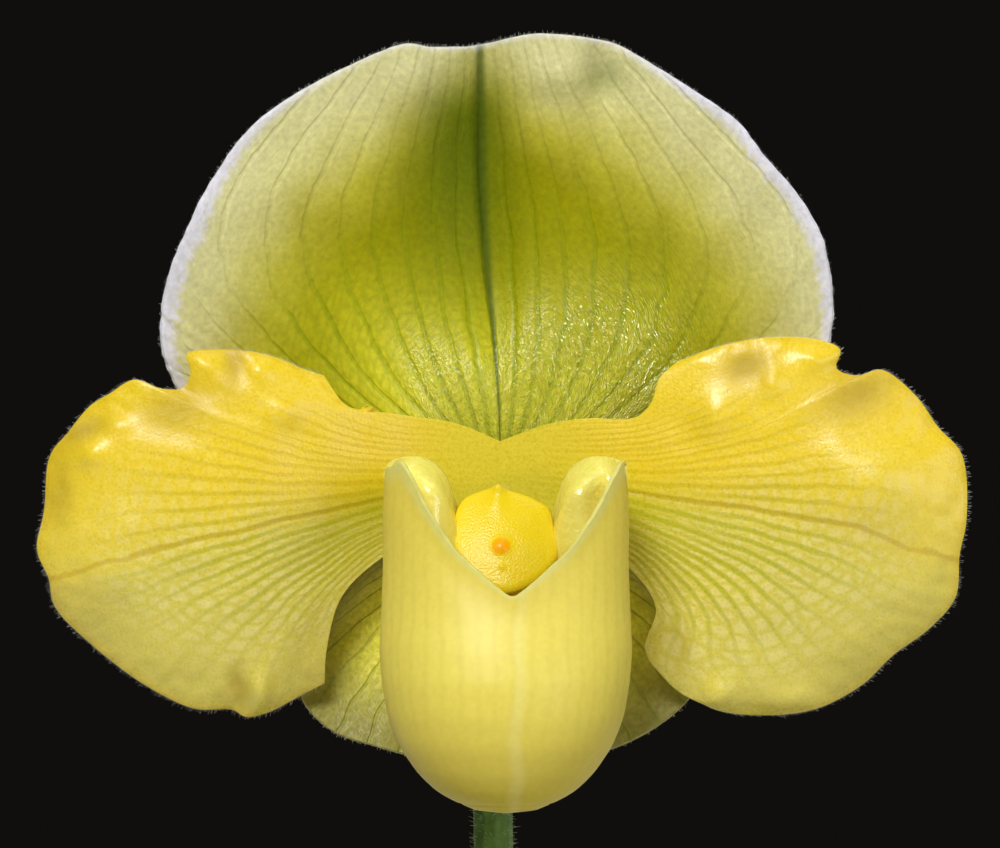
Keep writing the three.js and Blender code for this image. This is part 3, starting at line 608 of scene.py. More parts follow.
@dataclass(frozen=True)
class DorsalSepalTissue:
    """Living sepal tissue: matt and finely velvety, green at its heart partly as painted shade, with a
    white crinkled rim.
    """

    # green heart colour, partly painted shade
    green_heart_and_shade: str = "#667200"
    body: str = "#9c9800"
    # bright foot colour, partly painted light
    foot: str = "#dcd62a"
    middle: str = "#c6be3e"
    # pale outer colour, partly a painted sheen
    outer: str = "#e3dfa2"
    rim: str = "#eceaf6"
    vein: str = "#7a8e00"
    midrib: str = "#46580a"

    def make(self) -> bpy.types.Material:
        """Lay out the material."""
        finish = Finish(
            "dorsal sepal tissue", roughness=0.55, specular_ior_level=0.3, subsurface_weight=0.12,
            subsurface_radius=(1.0, 0.9, 0.3), subsurface_scale=0.0012,
        )
        add = finish.add
        mask, number, inward, along = tissue_veins(finish, 0.5, 0.5)
        away = add(MATH, number, operation="ABSOLUTE")
        aside = add(MATH, add(MATH, number, 0.8, operation="ADD"), operation="ABSOLUTE")
        height = add(SPLIT, finish.place, out="Z")
        speckle = add(NOISE, finish.place, 1400.0, 3.0)
        cloud = add(NOISE, finish.place, 130.0, 2.0)

        # Green heart, partly painted hood shade; yellow-green body, darker upwards and brighter at the
        # foot, partly as painted shade and painted light; pale outer part, partly a painted sheen
        # The bright foot is partly painted light where the base faces up; the darker body above is
        # partly painted shade of the hood
        tall = add(RANGE, height, 0.354, 0.38)
        sideways = add(MATH, add(SPLIT, finish.place, out="X"), operation="ABSOLUTE")
        sideways = add(RANGE, sideways, 0.01, 0.024, 0.0, 0.8)
        greener = add(MATH, tall, sideways, operation="MAXIMUM")
        colour = add(MIX, greener, self.foot, self.body)
        ragged = add(MATH, cloud, 6.0, inward, operation="MULTIPLY_ADD")
        central = add(RANGE, away, 0.0, 5.0, 7.0, 0.0)
        ragged = add(MATH, ragged, central, operation="ADD")
        colour = finish.tint(colour, self.middle, ragged, 12.0, 25.0, 1.0, 0.0)
        # The pale outer part is partly the sepal's own colour and partly a painted sheen
        colour = finish.tint(colour, self.outer, ragged, 5.0, 18.0, 1.0, 0.0)
        # The dark green heart beside the midrib, high up, is partly the sepal's colour and partly
        # painted shade of the hood's fold
        near = add(RANGE, aside, 0.3, 4.2, 1.0, 0.0)
        high = add(RANGE, height, 0.362, 0.39)
        inner = add(RANGE, inward, -1.0, 9.0)
        deep = add(MATH, add(MATH, near, high), inner)
        dip_shade_blotch = add("ShaderNodeAttribute", attribute_name="dip_shade_blotch", out="Fac")
        deep = add(MATH, deep, dip_shade_blotch, operation="MAXIMUM")
        colour = add(MIX, deep, colour, self.green_heart_and_shade)

        # Veins, their net and the dark midrib, which widens upwards into a band that is partly painted
        # shade of the fold
        net = tissue_net(finish, number, inward, 2.2)
        lined = add(RANGE, inward, 7.0, 24.0, 0.02, 0.4)
        topmost = add(RANGE, height, 0.368, 0.392, 1.0, 0.2, **STRAIGHT)
        lined = add(MATH, lined, topmost)
        meshes = add(MATH, add(MATH, net, lined), 0.6)
        for share in (add(MATH, mask, lined), meshes):
            colour = add(MIX, share, colour, self.vein)
        # The midrib's upper band is partly painted shade of the fold
        broad = add(RANGE, height, 0.362, 0.392, 0.09, 0.42, **STRAIGHT)
        rib = add(MATH, away, broad, operation="DIVIDE")
        colour = finish.tint(colour, self.midrib, rib, 0.1, 1.5, 0.8, 0.0)

        # White rim, wide at both sides and feathered inwards by the crinkles
        chart = add(COMBINE, along, inward)
        streaks = add("ShaderNodeMapping", chart, scale=(1.1, 0.12, 1.0))
        feather = add(NOISE, streaks, 1.0, 3.0, noise_dimensions="2D")
        width = add("ShaderNodeAttribute", attribute_name="rim_width", out="Fac")
        reach = add(MATH, add(MATH, feather, 2.2), width)
        beyond = add(MATH, inward, reach, operation="SUBTRACT")
        colour = finish.tint(colour, self.rim, beyond, -0.5, 1.3, 0.95, 0.0)
        colour = finish.shade(colour, speckle, 0.25, 0.75, 0.86, 1.12)

        # Wet-looking swollen cells towards the foot, fine velvet elsewhere
        wet = add("ShaderNodeAttribute", attribute_name="wetness", out="Fac")
        chart = add(COMBINE, number, inward)
        chart = add("ShaderNodeMapping", chart, scale=(7.0, 2.4, 1.0))
        cells = add(NOISE, chart, 1.0, 1.0, noise_dimensions="2D")
        swollen = add(MATH, cells, wet)
        velvet = add(MATH, speckle, 0.1, swollen, operation="MULTIPLY_ADD")
        relief = add(MATH, mask, -0.15, velvet, operation="MULTIPLY_ADD")
        normal = add(BUMP, strength=1.0, distance=0.00055, height=relief)
        gloss = add(RANGE, wet, 0.0, 0.5, 0.6, 0.11, **STRAIGHT)
        shine = add(RANGE, wet, 0.0, 0.6, 0.03, 1.0, **STRAIGHT)
        return finish.link(
            base_color=colour, roughness=gloss, specular_ior_level=shine, normal=normal
        )


@dataclass(frozen=True)
class PetalTissue:
    """Living petal tissue: waxy and softly glossy, yellow above the midrib and greener below it."""

    name: str = "petal tissue"
    upper: str = "#f3d32c"
    lower: str = "#dccd58"
    claw_centre: str = "#e2d038"
    claw_upper: str = "#e6cd16"
    claw_lower: str = "#c2b91c"
    edge: str = "#dcb91c"
    # colour of the painted shade in hollows
    hollow: str = "#a88a00"
    upper_vein: str = "#d2b406"
    lower_vein: str = "#b0ae08"
    cell: str = "#ebe09a"
    # amber crease line, partly painted shade
    crease: str = "#b88a00"

    def make(self) -> bpy.types.Material:
        """Lay out the material."""
        finish = Finish(
            self.name, specular_ior_level=0.5, subsurface_weight=0.15,
            subsurface_radius=(1.0, 0.8, 0.2), subsurface_scale=0.0012,
        )
        add = finish.add
        mask, number, inward, _ = tissue_veins(finish, 0.55, 0.4)
        between, *_ = tissue_veins(finish, 0.5, 0.4, offset=0.5)
        between = add(MATH, between, add(RANGE, inward, 26.0, 38.0, 1.0, 0.0))
        mask = add(MATH, mask, between, operation="MAXIMUM")
        net = tissue_net(finish, number, inward, 3.4)
        speckle = add(NOISE, finish.place, 2600.0, 2.0)
        cloud = add(NOISE, finish.place, 160.0, 2.0)

        # Yellow above, greener below, deeper in the claw and along the edge
        wavering = add(MATH, cloud, 1.6, number, operation="MULTIPLY_ADD")
        above = add(RANGE, wavering, -0.8, 3.6)
        near = add(RANGE, inward, 26.0, 46.0)
        broad = add(MIX, above, self.lower, self.upper)
        claw = add(MIX, above, self.claw_lower, self.claw_upper)
        colour = add(MIX, near, broad, claw)
        colour = finish.tint(colour, self.edge, inward, 0.0, 1.8, 0.4, 0.0)

        # Hollows are painted darker and deeper yellow: painted shade
        sunk = add(MATH, add("ShaderNodeAttribute", attribute_name="hollow", out="Fac"), 0.7)
        colour = add(MIX, sunk, colour, self.hollow)
        sideways = add(MATH, add(SPLIT, finish.place, out="X"), operation="ABSOLUTE")
        out = add(RANGE, sideways, 0.003, 0.017)
        inmost = add(MATH, out, -0.85, 0.85, operation="MULTIPLY_ADD")
        colour = add(MIX, inmost, colour, self.claw_centre)

        # Veins fade out towards the margin; pale cells lie between them below the crease
        vein = add(MIX, above, self.lower_vein, self.upper_vein)
        fading = add(RANGE, inward, 3.0, 24.0, 0.1, 0.8)
        shown = add(RANGE, out, 0.0, 1.0, 0.25, 1.0, **STRAIGHT)
        fading = add(MATH, fading, shown)
        weaker = add(RANGE, above, 0.0, 1.0, 1.0, 0.6, **STRAIGHT)
        lines = add(MATH, add(MATH, mask, fading), weaker)
        inside = add(RANGE, inward, 3.0, 12.0, 0.1, 1.0)
        inside = add(MATH, inside, out)
        below = add(RANGE, above, 0.0, 1.0, 0.36, 0.1, **STRAIGHT)
        below = add(MATH, below, inside)
        pale = add(MATH, add(MATH, 1.0, net, operation="SUBTRACT"), below)
        outer = add(RANGE, near, 0.0, 0.8, 1.0, 0.2, **STRAIGHT)
        pale = add(MATH, pale, outer)
        colour = add(MIX, pale, colour, self.cell)
        netted = add(MATH, add(MATH, net, below), 0.4)
        netted = add(MATH, netted, lines, operation="MAXIMUM")
        colour = add(MIX, netted, colour, vein)
        colour = finish.shade(colour, speckle, 0.25, 0.75, 0.93, 1.06)

        # The crease of the midrib is a thin amber line, partly the midrib's colour and partly painted
        # shade of the crease
        crease_line_and_shade = add(MATH, number, operation="ABSOLUTE")
        crease_line_and_shade = add(RANGE, crease_line_and_shade, 0.2, 0.25, 0.32, 0.0, **STRAIGHT)
        crease_line_and_shade = add(MATH, add(MATH, crease_line_and_shade, mask), out)
        colour = add(MIX, crease_line_and_shade, colour, self.crease)

        # Quilted between the veins, finely grained all over
        quilt = add(MATH, add(MATH, mask, fading), -0.14)
        grained = add(MATH, speckle, 0.35, quilt, operation="MULTIPLY_ADD")
        normal = add(BUMP, strength=0.5, distance=0.00022, height=grained)
        gloss = add(RANGE, speckle, 0.3, 0.7, 0.22, 0.42, **STRAIGHT)
        gloss = add(MATH, sunk, 0.4, gloss, operation="MULTIPLY_ADD")
        return finish.link(base_color=colour, roughness=gloss, normal=normal)


@dataclass(frozen=True)
class SynsepalTissue:
    """The joined lower sepals: thin, olive green and grained, paler towards the edge, and brightened
    inside as painted light where the pouch shades them.
    """

    # bright inner colour, partly painted light
    inner: str = "#f6ee48"
    outer: str = "#989146"
    vein: str = "#8f9618"

    def make(self) -> bpy.types.Material:
        """Lay out the material."""
        finish = Finish(
            "synsepal tissue", roughness=0.5, specular_ior_level=0.4, subsurface_weight=0.1,
            subsurface_radius=(1.0, 0.9, 0.3), subsurface_scale=0.0012,
        )
        add = finish.add
        mask, number, inward, _ = tissue_veins(finish, 0.3, 0.6)
        net = tissue_net(finish, number, inward, 1.8)
        speckle = add(NOISE, finish.place, 1500.0, 3.0)
        # The bright inner colour is partly painted light where the pouch shades the sepals
        colour = finish.tint(self.inner, self.outer, inward, 0.5, 15.0, 1.0, 0.0)
        for lines, share in ((mask, 0.4), (net, 0.18)):
            colour = add(MIX, add(MATH, lines, share), colour, self.vein)
        colour = finish.shade(colour, speckle, 0.25, 0.75, 0.82, 1.18)
        relief = add(MATH, mask, -0.8, speckle, operation="MULTIPLY_ADD")
        normal = add(BUMP, strength=0.6, distance=0.0003, height=relief)
        gloss = add(RANGE, speckle, 0.35, 0.65, 0.55, 0.38, **STRAIGHT)
        return finish.link(base_color=colour, roughness=gloss, normal=normal)


@dataclass(frozen=True)
class PouchWax:
    """The waxy skin of the pouch: smooth lemon yellow, glossy inside the folded lobes, with painted
    shade under the lip, partly painted shade at the foot and partly painted light on the lobes.
    """

    body: str = "#efdc60"
    foot: str = "#d2bf40"
    vein: str = "#dcc848"
    shade_under_lip: str = "#cfb938"
    mouth: str = "#e2dc80"
    # lobe colour, partly painted light
    lobes: str = "#fff074"
    pale: str = "#f4eba6"

    def make(self) -> bpy.types.Material:
        """Lay out the material."""
        finish = Finish(
            "pouch wax", roughness=0.36, specular_ior_level=0.45, subsurface_weight=0.2,
            subsurface_radius=(1.0, 0.8, 0.25), subsurface_scale=0.0018,
        )
        add = finish.add
        number, pitch = finish.chart("veins")
        below, inner = finish.chart("mouth")
        height = add(SPLIT, finish.place, out="Z")
        mask, moved = lay_veins(finish, number, pitch, (0.1, 0.6), (110.0, 1.6))
        # Darker towards the foot, partly painted shade of the underside
        colour = finish.tint(self.body, self.foot, height, 0.309, 0.327, 1.0, 0.0)
        colour = add(MIX, add(MATH, mask, 0.22), colour, self.vein)
        middle = add(MATH, add(MATH, moved, pitch), 0.7, operation="SUBTRACT")
        middle = add(MATH, middle, operation="ABSOLUTE")
        colour = finish.tint(colour, self.pale, middle, 0.1, 1.1, 0.2, 0.0)
        # A painted shade band below the flared lip, where the lip shades the pouch
        colour = finish.tint(colour, self.shade_under_lip, below, 1.0, 8.0, 0.36, 0.0)
        colour = finish.tint(colour, self.mouth, below, 0.2, 1.2, 0.8, 0.0)
        # The folded lobes are near-white yellow, partly their own glossy colour and partly painted
        # light
        colour = add(MIX, inner, colour, self.lobes)
        speckle = add(NOISE, finish.place, 1100.0, 3.0)
        colour = finish.shade(colour, speckle, 0.25, 0.75, 0.96, 1.04)
        swollen = add(RANGE, inner, 0.0, 1.0, 0.12, 1.6, **STRAIGHT)
        normal = add(BUMP, strength=0.4, distance=0.0003, height=add(MATH, speckle, swollen))
        gloss = add(RANGE, inner, 0.0, 1.0, 0.46, 0.22, **STRAIGHT)
        shine = add(RANGE, inner, 0.0, 1.0, 0.4, 0.95, **STRAIGHT)
        return finish.link(
            base_color=colour, roughness=gloss, specular_ior_level=shine, normal=normal
        )


@dataclass(frozen=True)
class StaminodeCrystal:
    """The staminode's skin: bright yellow, covered with tiny glittering warts, with an orange boss."""

    body: str = "#efd216"
    pale: str = "#efd632"
    boss: str = "#fcb000"
    tip: str = "#a8b418"

    def make(self) -> bpy.types.Material:
        """Lay out the material."""
        finish = Finish("staminode crystal skin", roughness=0.3, specular_ior_level=0.25)
        add = finish.add
        right, up = finish.chart("face")
        right = add(MATH, right, 0.47, operation="ADD")
        up = add(MATH, up, 1.8, operation="ADD")
        flat = add(COMBINE, right, up)
        away = add("ShaderNodeVectorMath", flat, operation="LENGTH", out="Value")
        boss = add(RANGE, away, 0.9, 1.3, 1.0, 0.0)
        warts = add(CELLS, finish.place, 3300.0, feature="F1")
        soft = add(NOISE, finish.place, 420.0, 2.0)
        bright = add(RANGE, soft, 0.35, 0.7, 0.0, 0.5, **STRAIGHT)
        colour = add(MIX, bright, self.body, self.pale)
        colour = add(MIX, boss, colour, self.boss)
        colour = finish.tint(colour, self.tip, up, 8.6, 9.2, 0.0, 0.8)
        smooth = add(RANGE, boss, 0.0, 1.0, -1.0, 0.0, **STRAIGHT)
        normal = add(BUMP, strength=0.4, distance=0.00009, height=add(MATH, warts, smooth))
        return finish.link(base_color=colour, normal=normal)


@dataclass(frozen=True)
class SoftFlesh:
    """Plain plant tissue: matt to waxy, mottled, with a fine grain."""

    name: str
    body: str
    mottle: str
    patch: float = 1.2
    rough: float = 0.5

    def make(self) -> bpy.types.Material:
        """Lay out the material."""
        finish = Finish(
            self.name, roughness=self.rough, specular_ior_level=0.4, subsurface_weight=0.1,
            subsurface_radius=(1.0, 0.8, 0.3), subsurface_scale=0.001,
        )
        codes = (self.body, self.mottle)
        colour = finish.patches(codes, 1 / (self.patch * MM), 4.0, 0.35, 0.7)
        fine = finish.add(NOISE, finish.place, 1600.0, 2.0)
        normal = finish.add(BUMP, strength=0.4, distance=0.0002, height=fine)
        return finish.link(base_color=colour, normal=normal)


@dataclass(frozen=True)
class PlantHair:
    """Fine plant hairs: colourless cell walls that look white against the dark."""

    name: str
    colour: str

    def make(self) -> bpy.types.Material:
        """Lay out the material."""
        finish = Finish(self.name, roughness=0.45, specular_ior_level=0.4)
        fleck = finish.add(NOISE, finish.place, 900.0, 1.0)
        return finish.link(base_color=finish.shade(self.colour, fleck, 0.3, 0.7, 0.75, 1.05))


@dataclass(frozen=True)
class LeafCuticle:
    """The leaf's waxy cuticle: glossy mid green, faintly veined lengthways, paler underneath."""

    face: str = "#3d6b24"
    dark: str = "#2c5219"
    under: str = "#5c8440"
    foot: str = "#7d9a52"

    def make(self) -> bpy.types.Material:
        """Lay out the material."""
        finish = Finish(
            "leaf cuticle", roughness=0.34, specular_ior_level=0.5, coat_weight=0.15,
            coat_roughness=0.25,
        )
        add = finish.add
        along, across = finish.chart("leaf")
        stretched = add(COMBINE, add(MATH, across, 1.1), add(MATH, along, 0.03))
        grain_lines = add(NOISE, stretched, 1.0, 4.0, noise_dimensions="2D")
        colour = finish.patches((self.face, self.dark), 45.0, 4.0, 0.35, 0.65)
        colour = finish.shade(colour, grain_lines, 0.35, 0.7, 0.88, 1.14)
        colour = finish.tint(colour, self.foot, along, 6.0, 48.0, 0.85, 0.0)
        rib = add(MATH, across, operation="ABSOLUTE")
        colour = finish.tint(colour, self.under, rib, 0.2, 1.0, 0.4, 0.0)
        normal = add(BUMP, strength=0.35, distance=0.0004, height=grain_lines)
        return finish.link(base_color=colour, normal=normal)


@dataclass(frozen=True)
class FiredClay:
    """Unglazed earthenware: matt and sandy, with throwing lines and a bloom of white salts."""

    body: str = "#b5633c"
    dark: str = "#96492a"
    bloom: str = "#d9b79c"
    damp: str = "#7c4129"

    def make(self) -> bpy.types.Material:
        """Lay out the material."""
        finish = Finish("fired clay", roughness=0.88, specular_ior_level=0.3)
        add = finish.add
        height = add(SPLIT, finish.place, out="Z")
        colour = finish.patches((self.body, self.dark), 28.0, 6.0, 0.38, 0.66)
        colour = finish.tint(colour, self.damp, height, 0.004, 0.05, 0.5, 0.0)
        salts = add(NOISE, finish.place, 55.0, 8.0, 0.7)
        band = add(RANGE, height, 0.03, 0.1, 0.0, 0.1)
        salts = add(MATH, salts, band, operation="ADD")
        colour = finish.tint(colour, self.bloom, salts, 0.58, 0.74, 0.0, 0.75)
        rings = add(NOISE, add(COMBINE, z=height), 900.0, 2.0)
        sand = add(NOISE, finish.place, 1100.0, 4.0)
        relief = add(MATH, rings, 0.8, sand, operation="MULTIPLY_ADD")
        normal = add(BUMP, strength=0.5, distance=0.0004, height=relief)
        return finish.link(base_color=colour, normal=normal)


@dataclass(frozen=True)
class FirBark:
    """Fir bark chips: fibrous, matt red-brown, layered dark and light."""

    body: str = "#6e4226"
    dark: str = "#3a2314"
    light: str = "#96643e"

    def make(self) -> bpy.types.Material:
        """Lay out the material."""
        finish = Finish("fir bark", roughness=0.92, specular_ior_level=0.25)
        add = finish.add
        colour = finish.patches((self.dark, self.body), 90.0, 6.0, 0.3, 0.7)
        flattened = add("ShaderNodeMapping", finish.place, scale=(1.0, 1.0, 5.0))
        layers = add(NOISE, flattened, 260.0, 5.0)
        colour = finish.tint(colour, self.light, layers, 0.52, 0.72, 0.0, 0.8)
        normal = add(BUMP, strength=0.8, distance=0.0008, height=layers)
        return finish.link(base_color=colour, normal=normal)


@dataclass(frozen=True)
class Perlite:
    """Expanded perlite: chalky white, pitted grains."""

    body: str = "#e4e0d6"

    def make(self) -> bpy.types.Material:
        """Lay out the material."""
        finish = Finish("perlite", roughness=0.9, specular_ior_level=0.3)
        pits = finish.add(CELLS, finish.place, 1400.0)
        colour = finish.shade(self.body, pits, 0.0, 0.6, 1.0, 0.78)
        normal = finish.add(BUMP, strength=0.7, distance=0.0004, height=pits)
        return finish.link(base_color=colour, normal=normal)


@dataclass(frozen=True)
class StudioPaper:
    """The studio's pale paper floor: matt, with the faintest fibre."""

    body: str = "#d9d7d2"

    def make(self) -> bpy.types.Material:
        """Lay out the material."""
        finish = Finish("studio paper", roughness=0.85, specular_ior_level=0.2)
        fibre = finish.add(NOISE, finish.place, 300.0, 3.0)
        return finish.link(base_color=finish.shade(self.body, fibre, 0.3, 0.7, 0.98, 1.02))


# The flower's blades


@dataclass(frozen=True)
class Swell:
    """A rounded swelling of a blade, or with a negative forward a hollow."""

    across: float
    height: float
    long_reach: float
    short_reach: float
    turn: float
    forward: float

    def at(self, spot: Vector) -> float:
        """How far the swelling stands forward at a place of the flower."""
        angle = math.radians(self.turn)
        dx, dz = spot.x - self.across, spot.y - self.height
        lengthways = dx * math.cos(angle) + dz * math.sin(angle)
        sideways = dz * math.cos(angle) - dx * math.sin(angle)
        share = (lengthways / self.long_reach) ** 2 + (sideways / self.short_reach) ** 2
        return self.forward * math.exp(-share)


@dataclass(frozen=True)
class Fringe:
    """Hairs along a margin.

    Attributes:
        spacing: Millimetres between hairs.
        shortest: Length of the shortest hair.
        longest: Length of the longest hair.
        radius: A hair's radius at its root. It is drawn at about three times life, to show.
        finish: What the hairs are made of.
    """

    spacing: float
    shortest: float
    longest: float
    radius: float
    finish: PlantHair


@dataclass(frozen=True)
class Blade:
    """A petal or sepal: a fan of veins from a short base to a waved margin.

    Attributes:
        name: The piece's and the CAD node's name.
        base: The base's two corners, across and up.
        edges: The two side edges, from the base's corners to the margin's ends.
        margin: The margin's rows, across, up and forward.
        apex_row: The row where the midrib ends.
        focus: The place that veins seem to come from at the margin.
        grid: Faces along and across.
        thickness: In millimetres.
        slot: The record's slot.
        fringe: Its hairs.
        swells: Its swellings and hollows.
    """

    name: str
    base: tuple[tuple[float, float], tuple[float, float]]
    edges: tuple[tuple[tuple[float, float], ...], tuple[tuple[float, float], ...]]
    margin: tuple[tuple[float, float, float], ...]
    apex_row: int
    focus: tuple[float, float]
    grid: tuple[int, int]
    thickness: float
    slot: Slot
    fringe: Fringe
    swells: tuple[Swell, ...] = ()

    # How fast the bend of a side edge dies away, how much of the margin's waves is used, how far
    # they reach in, the directions of the first and last vein at the base, and how many veins
    EDGE_BLEND = 6
    RIM_RELIEF = 1.0
    RIM_REACH = 1.0
    LEADS = (168, 12)
    VEINS = 22
    HAIR_ROOT = 0.12

    def lead(self, t: float) -> Vector:
        """The direction in which a vein leaves the base."""
        angle = math.radians(mix(*self.LEADS, t))
        return Vector((math.cos(angle), math.sin(angle), 0))

    def body(self, s: float, t: float, spot: Vector) -> float:
        """How far the broad form stands forward."""
        raise NotImplementedError

    def relief(self, s: float, t: float, spot: Vector) -> float:
        """How far the fine form stands forward of the broad one."""
        return sum(swell.at(spot) for swell in self.swells)

    def vein_chart(self, s: float, t: float) -> tuple[float, float]:
        """The vein number and the space between veins, in millimetres."""
        step = 1 / self.grid[1]
        t0, t1 = max(0.0, t - step), min(1.0, t + step)
        gap = (self.flat(s, t1) - self.flat(s, t0)).length / ((t1 - t0) * self.VEINS)
        return self.number(s, t), gap

    def number(self, s: float, t: float) -> float:
        """The vein number."""
        return t * self.VEINS

    def marks(self) -> dict[str, Callable[[float, float], float]]:
        """The attributes that the finish reads, by name."""
        return {}

    def finish(self) -> bpy.types.Material:
        """The finish of the blade."""
        raise NotImplementedError

    def prepare(self) -> None:
        """Measure the margin and the side edges."""
        rim = Spline(self.margin)
        apex = rim.share_of_row(self.apex_row)
        along, across = self.grid
        shares = [i / along for i in range(along + 1)]
        turns = [j / across for j in range(across + 1)]
        reach = [2 * t * apex if t < 0.5 else mix(apex, 1, 2 * t - 1) for t in turns]
        low, high = (Spline(edge) for edge in self.edges)
        measures = {
            "rims": [rim.at(u) for u in reach],
            "arcs": [u * rim.length for u in reach],
            "lows": [low.at(s) - self.vein(s, 0, rim.at(0)) for s in shares],
            "highs": [high.at(s) - self.vein(s, 1, rim.at(1)) for s in shares],
        }
        for key, value in measures.items():
            object.__setattr__(self, f"_{key}", value)
        flats = [[self.bent(i, j, s, t) for j, t in enumerate(turns)] for i, s in enumerate(shares)]
        object.__setattr__(self, "_flats", flats)

    def bent(self, i: int, j: int, s: float, t: float) -> Vector:
        """A point in the plane of the flower, with the side edges where they belong."""
        spot = self.vein(s, t, self._rims[j])
        spot += self._lows[i] * (1 - t) ** self.EDGE_BLEND
        return spot + self._highs[i] * t**self.EDGE_BLEND

    def vein(self, s: float, t: float, end: Vector) -> Vector:
        """A vein's point in the plane of the flower, before the side edges bend it."""
        low, high = (Vector((*corner, 0)) for corner in self.base)
        root = low.lerp(high, t)
        tip = Vector((end.x, end.y, 0))
        first = root + self.lead(t).normalized() * 0.4 * (tip - root).length
        second = tip.lerp(Vector((*self.focus, 0)), 0.33)
        rest = 1 - s
        return (
            root * rest**3 + first * 3 * rest**2 * s + second * 3 * rest * s**2 + tip * s**3
        )

    def flat(self, s: float, t: float) -> Vector:
        """A point in the plane of the flower: across, up and 0."""
        return self._flats[round(s * self.grid[0])][round(t * self.grid[1])]

    def forward(self, s: float, t: float) -> float:
        """How far a point stands forward of the flower's centre."""
        rim = self._rims[round(t * self.grid[1])]
        change = self.RIM_RELIEF * rim.z - self.body(1, t, self.flat(1, t))
        return self.body(s, t, self.flat(s, t)) + change * mix(s**10, s**3, self.RIM_REACH)

    def place(self, s: float, t: float) -> Vector:
        """A point of the blade's face."""
        spot = self.flat(s, t)
        return in_flower(spot.x, spot.y, self.forward(s, t) + self.relief(s, t, spot))

    def inward(self, s: float, t: float) -> float:
        """The distance from the margin along a vein's chord."""
        return (self.flat(s, t) - self.flat(1, t)).length

    def edge_chart(self, s: float, t: float) -> tuple[float, float]:
        """The place along the margin and the distance from it, in millimetres."""
        return self._arcs[round(t * self.grid[1])], self.inward(s, t)

    def build(self) -> None:
        """Build the blade with its hairs."""
        self.prepare()
        charts = {"veins": self.vein_chart, "edge": self.edge_chart}
        mesh = surface(self.name, self.grid, self.place, charts, faces_to=FORWARD)
        along, across = self.grid
        for name, reading in self.marks().items():
            for number, mark in enumerate(mesh.attributes.new(name, "FLOAT", "POINT").data):
                i, j = divmod(number, across + 1)
                mark.value = reading(i / along, j / across)
        piece = add_piece(self.name, mesh, self.finish(), self.slot, [self.name])
        give_body(piece, self.thickness, self.thickness * 0.35)
        self.build_fringe()

    def build_fringe(self) -> None:
        """Plant the hairs of the margin, pointing out of the flower and a little to either face."""
        draw = random.Random(self.name)
        fringe = self.fringe
        across = self.grid[1]
        spots = []
        travelled, due = 0.0, 0.0
        for j in range(across):
            t0, t1 = j / across, (j + 1) / across
            here, there = self.place(1, t0), self.place(1, t1)
            inner = self.place(1 - 2 / self.grid[0], t0)
            outward = (here - inner).normalized()
            step = (there - here).length
            while due < travelled + step:
                root = here.lerp(there, (due - travelled) / step)
                root -= outward * self.HAIR_ROOT + FORWARD * self.thickness * draw.random()
                lean = Vector((draw.gauss(0, 0.16), draw.gauss(0, 0.3), draw.gauss(0, 0.16)))
                length = mix(fringe.shortest, fringe.longest, draw.random() ** 1.5)
                size = Vector((fringe.radius, fringe.radius, length))
                spots.append(frame_at(root, outward + lean, size))
                due += fringe.spacing * mix(0.4, 1.6, draw.random())
            travelled += step
        name = f"{self.name}_fringe"
        add_piece(name, scatter(name, [hair_shape()], spots), fringe.finish.make(), self.slot)


def hair_shape() -> bpy.types.Mesh:
    """A single hair of unit radius and length, in millimetres, standing on its root."""
    bm = bmesh.new()
    bmesh.ops.create_cone(
        bm, cap_ends=False, segments=3, radius1=MM, radius2=0.4 * MM, depth=MM,
        matrix=Matrix.Translation((0, 0, MM / 2)),
    )
    return to_mesh(bm, "hair")


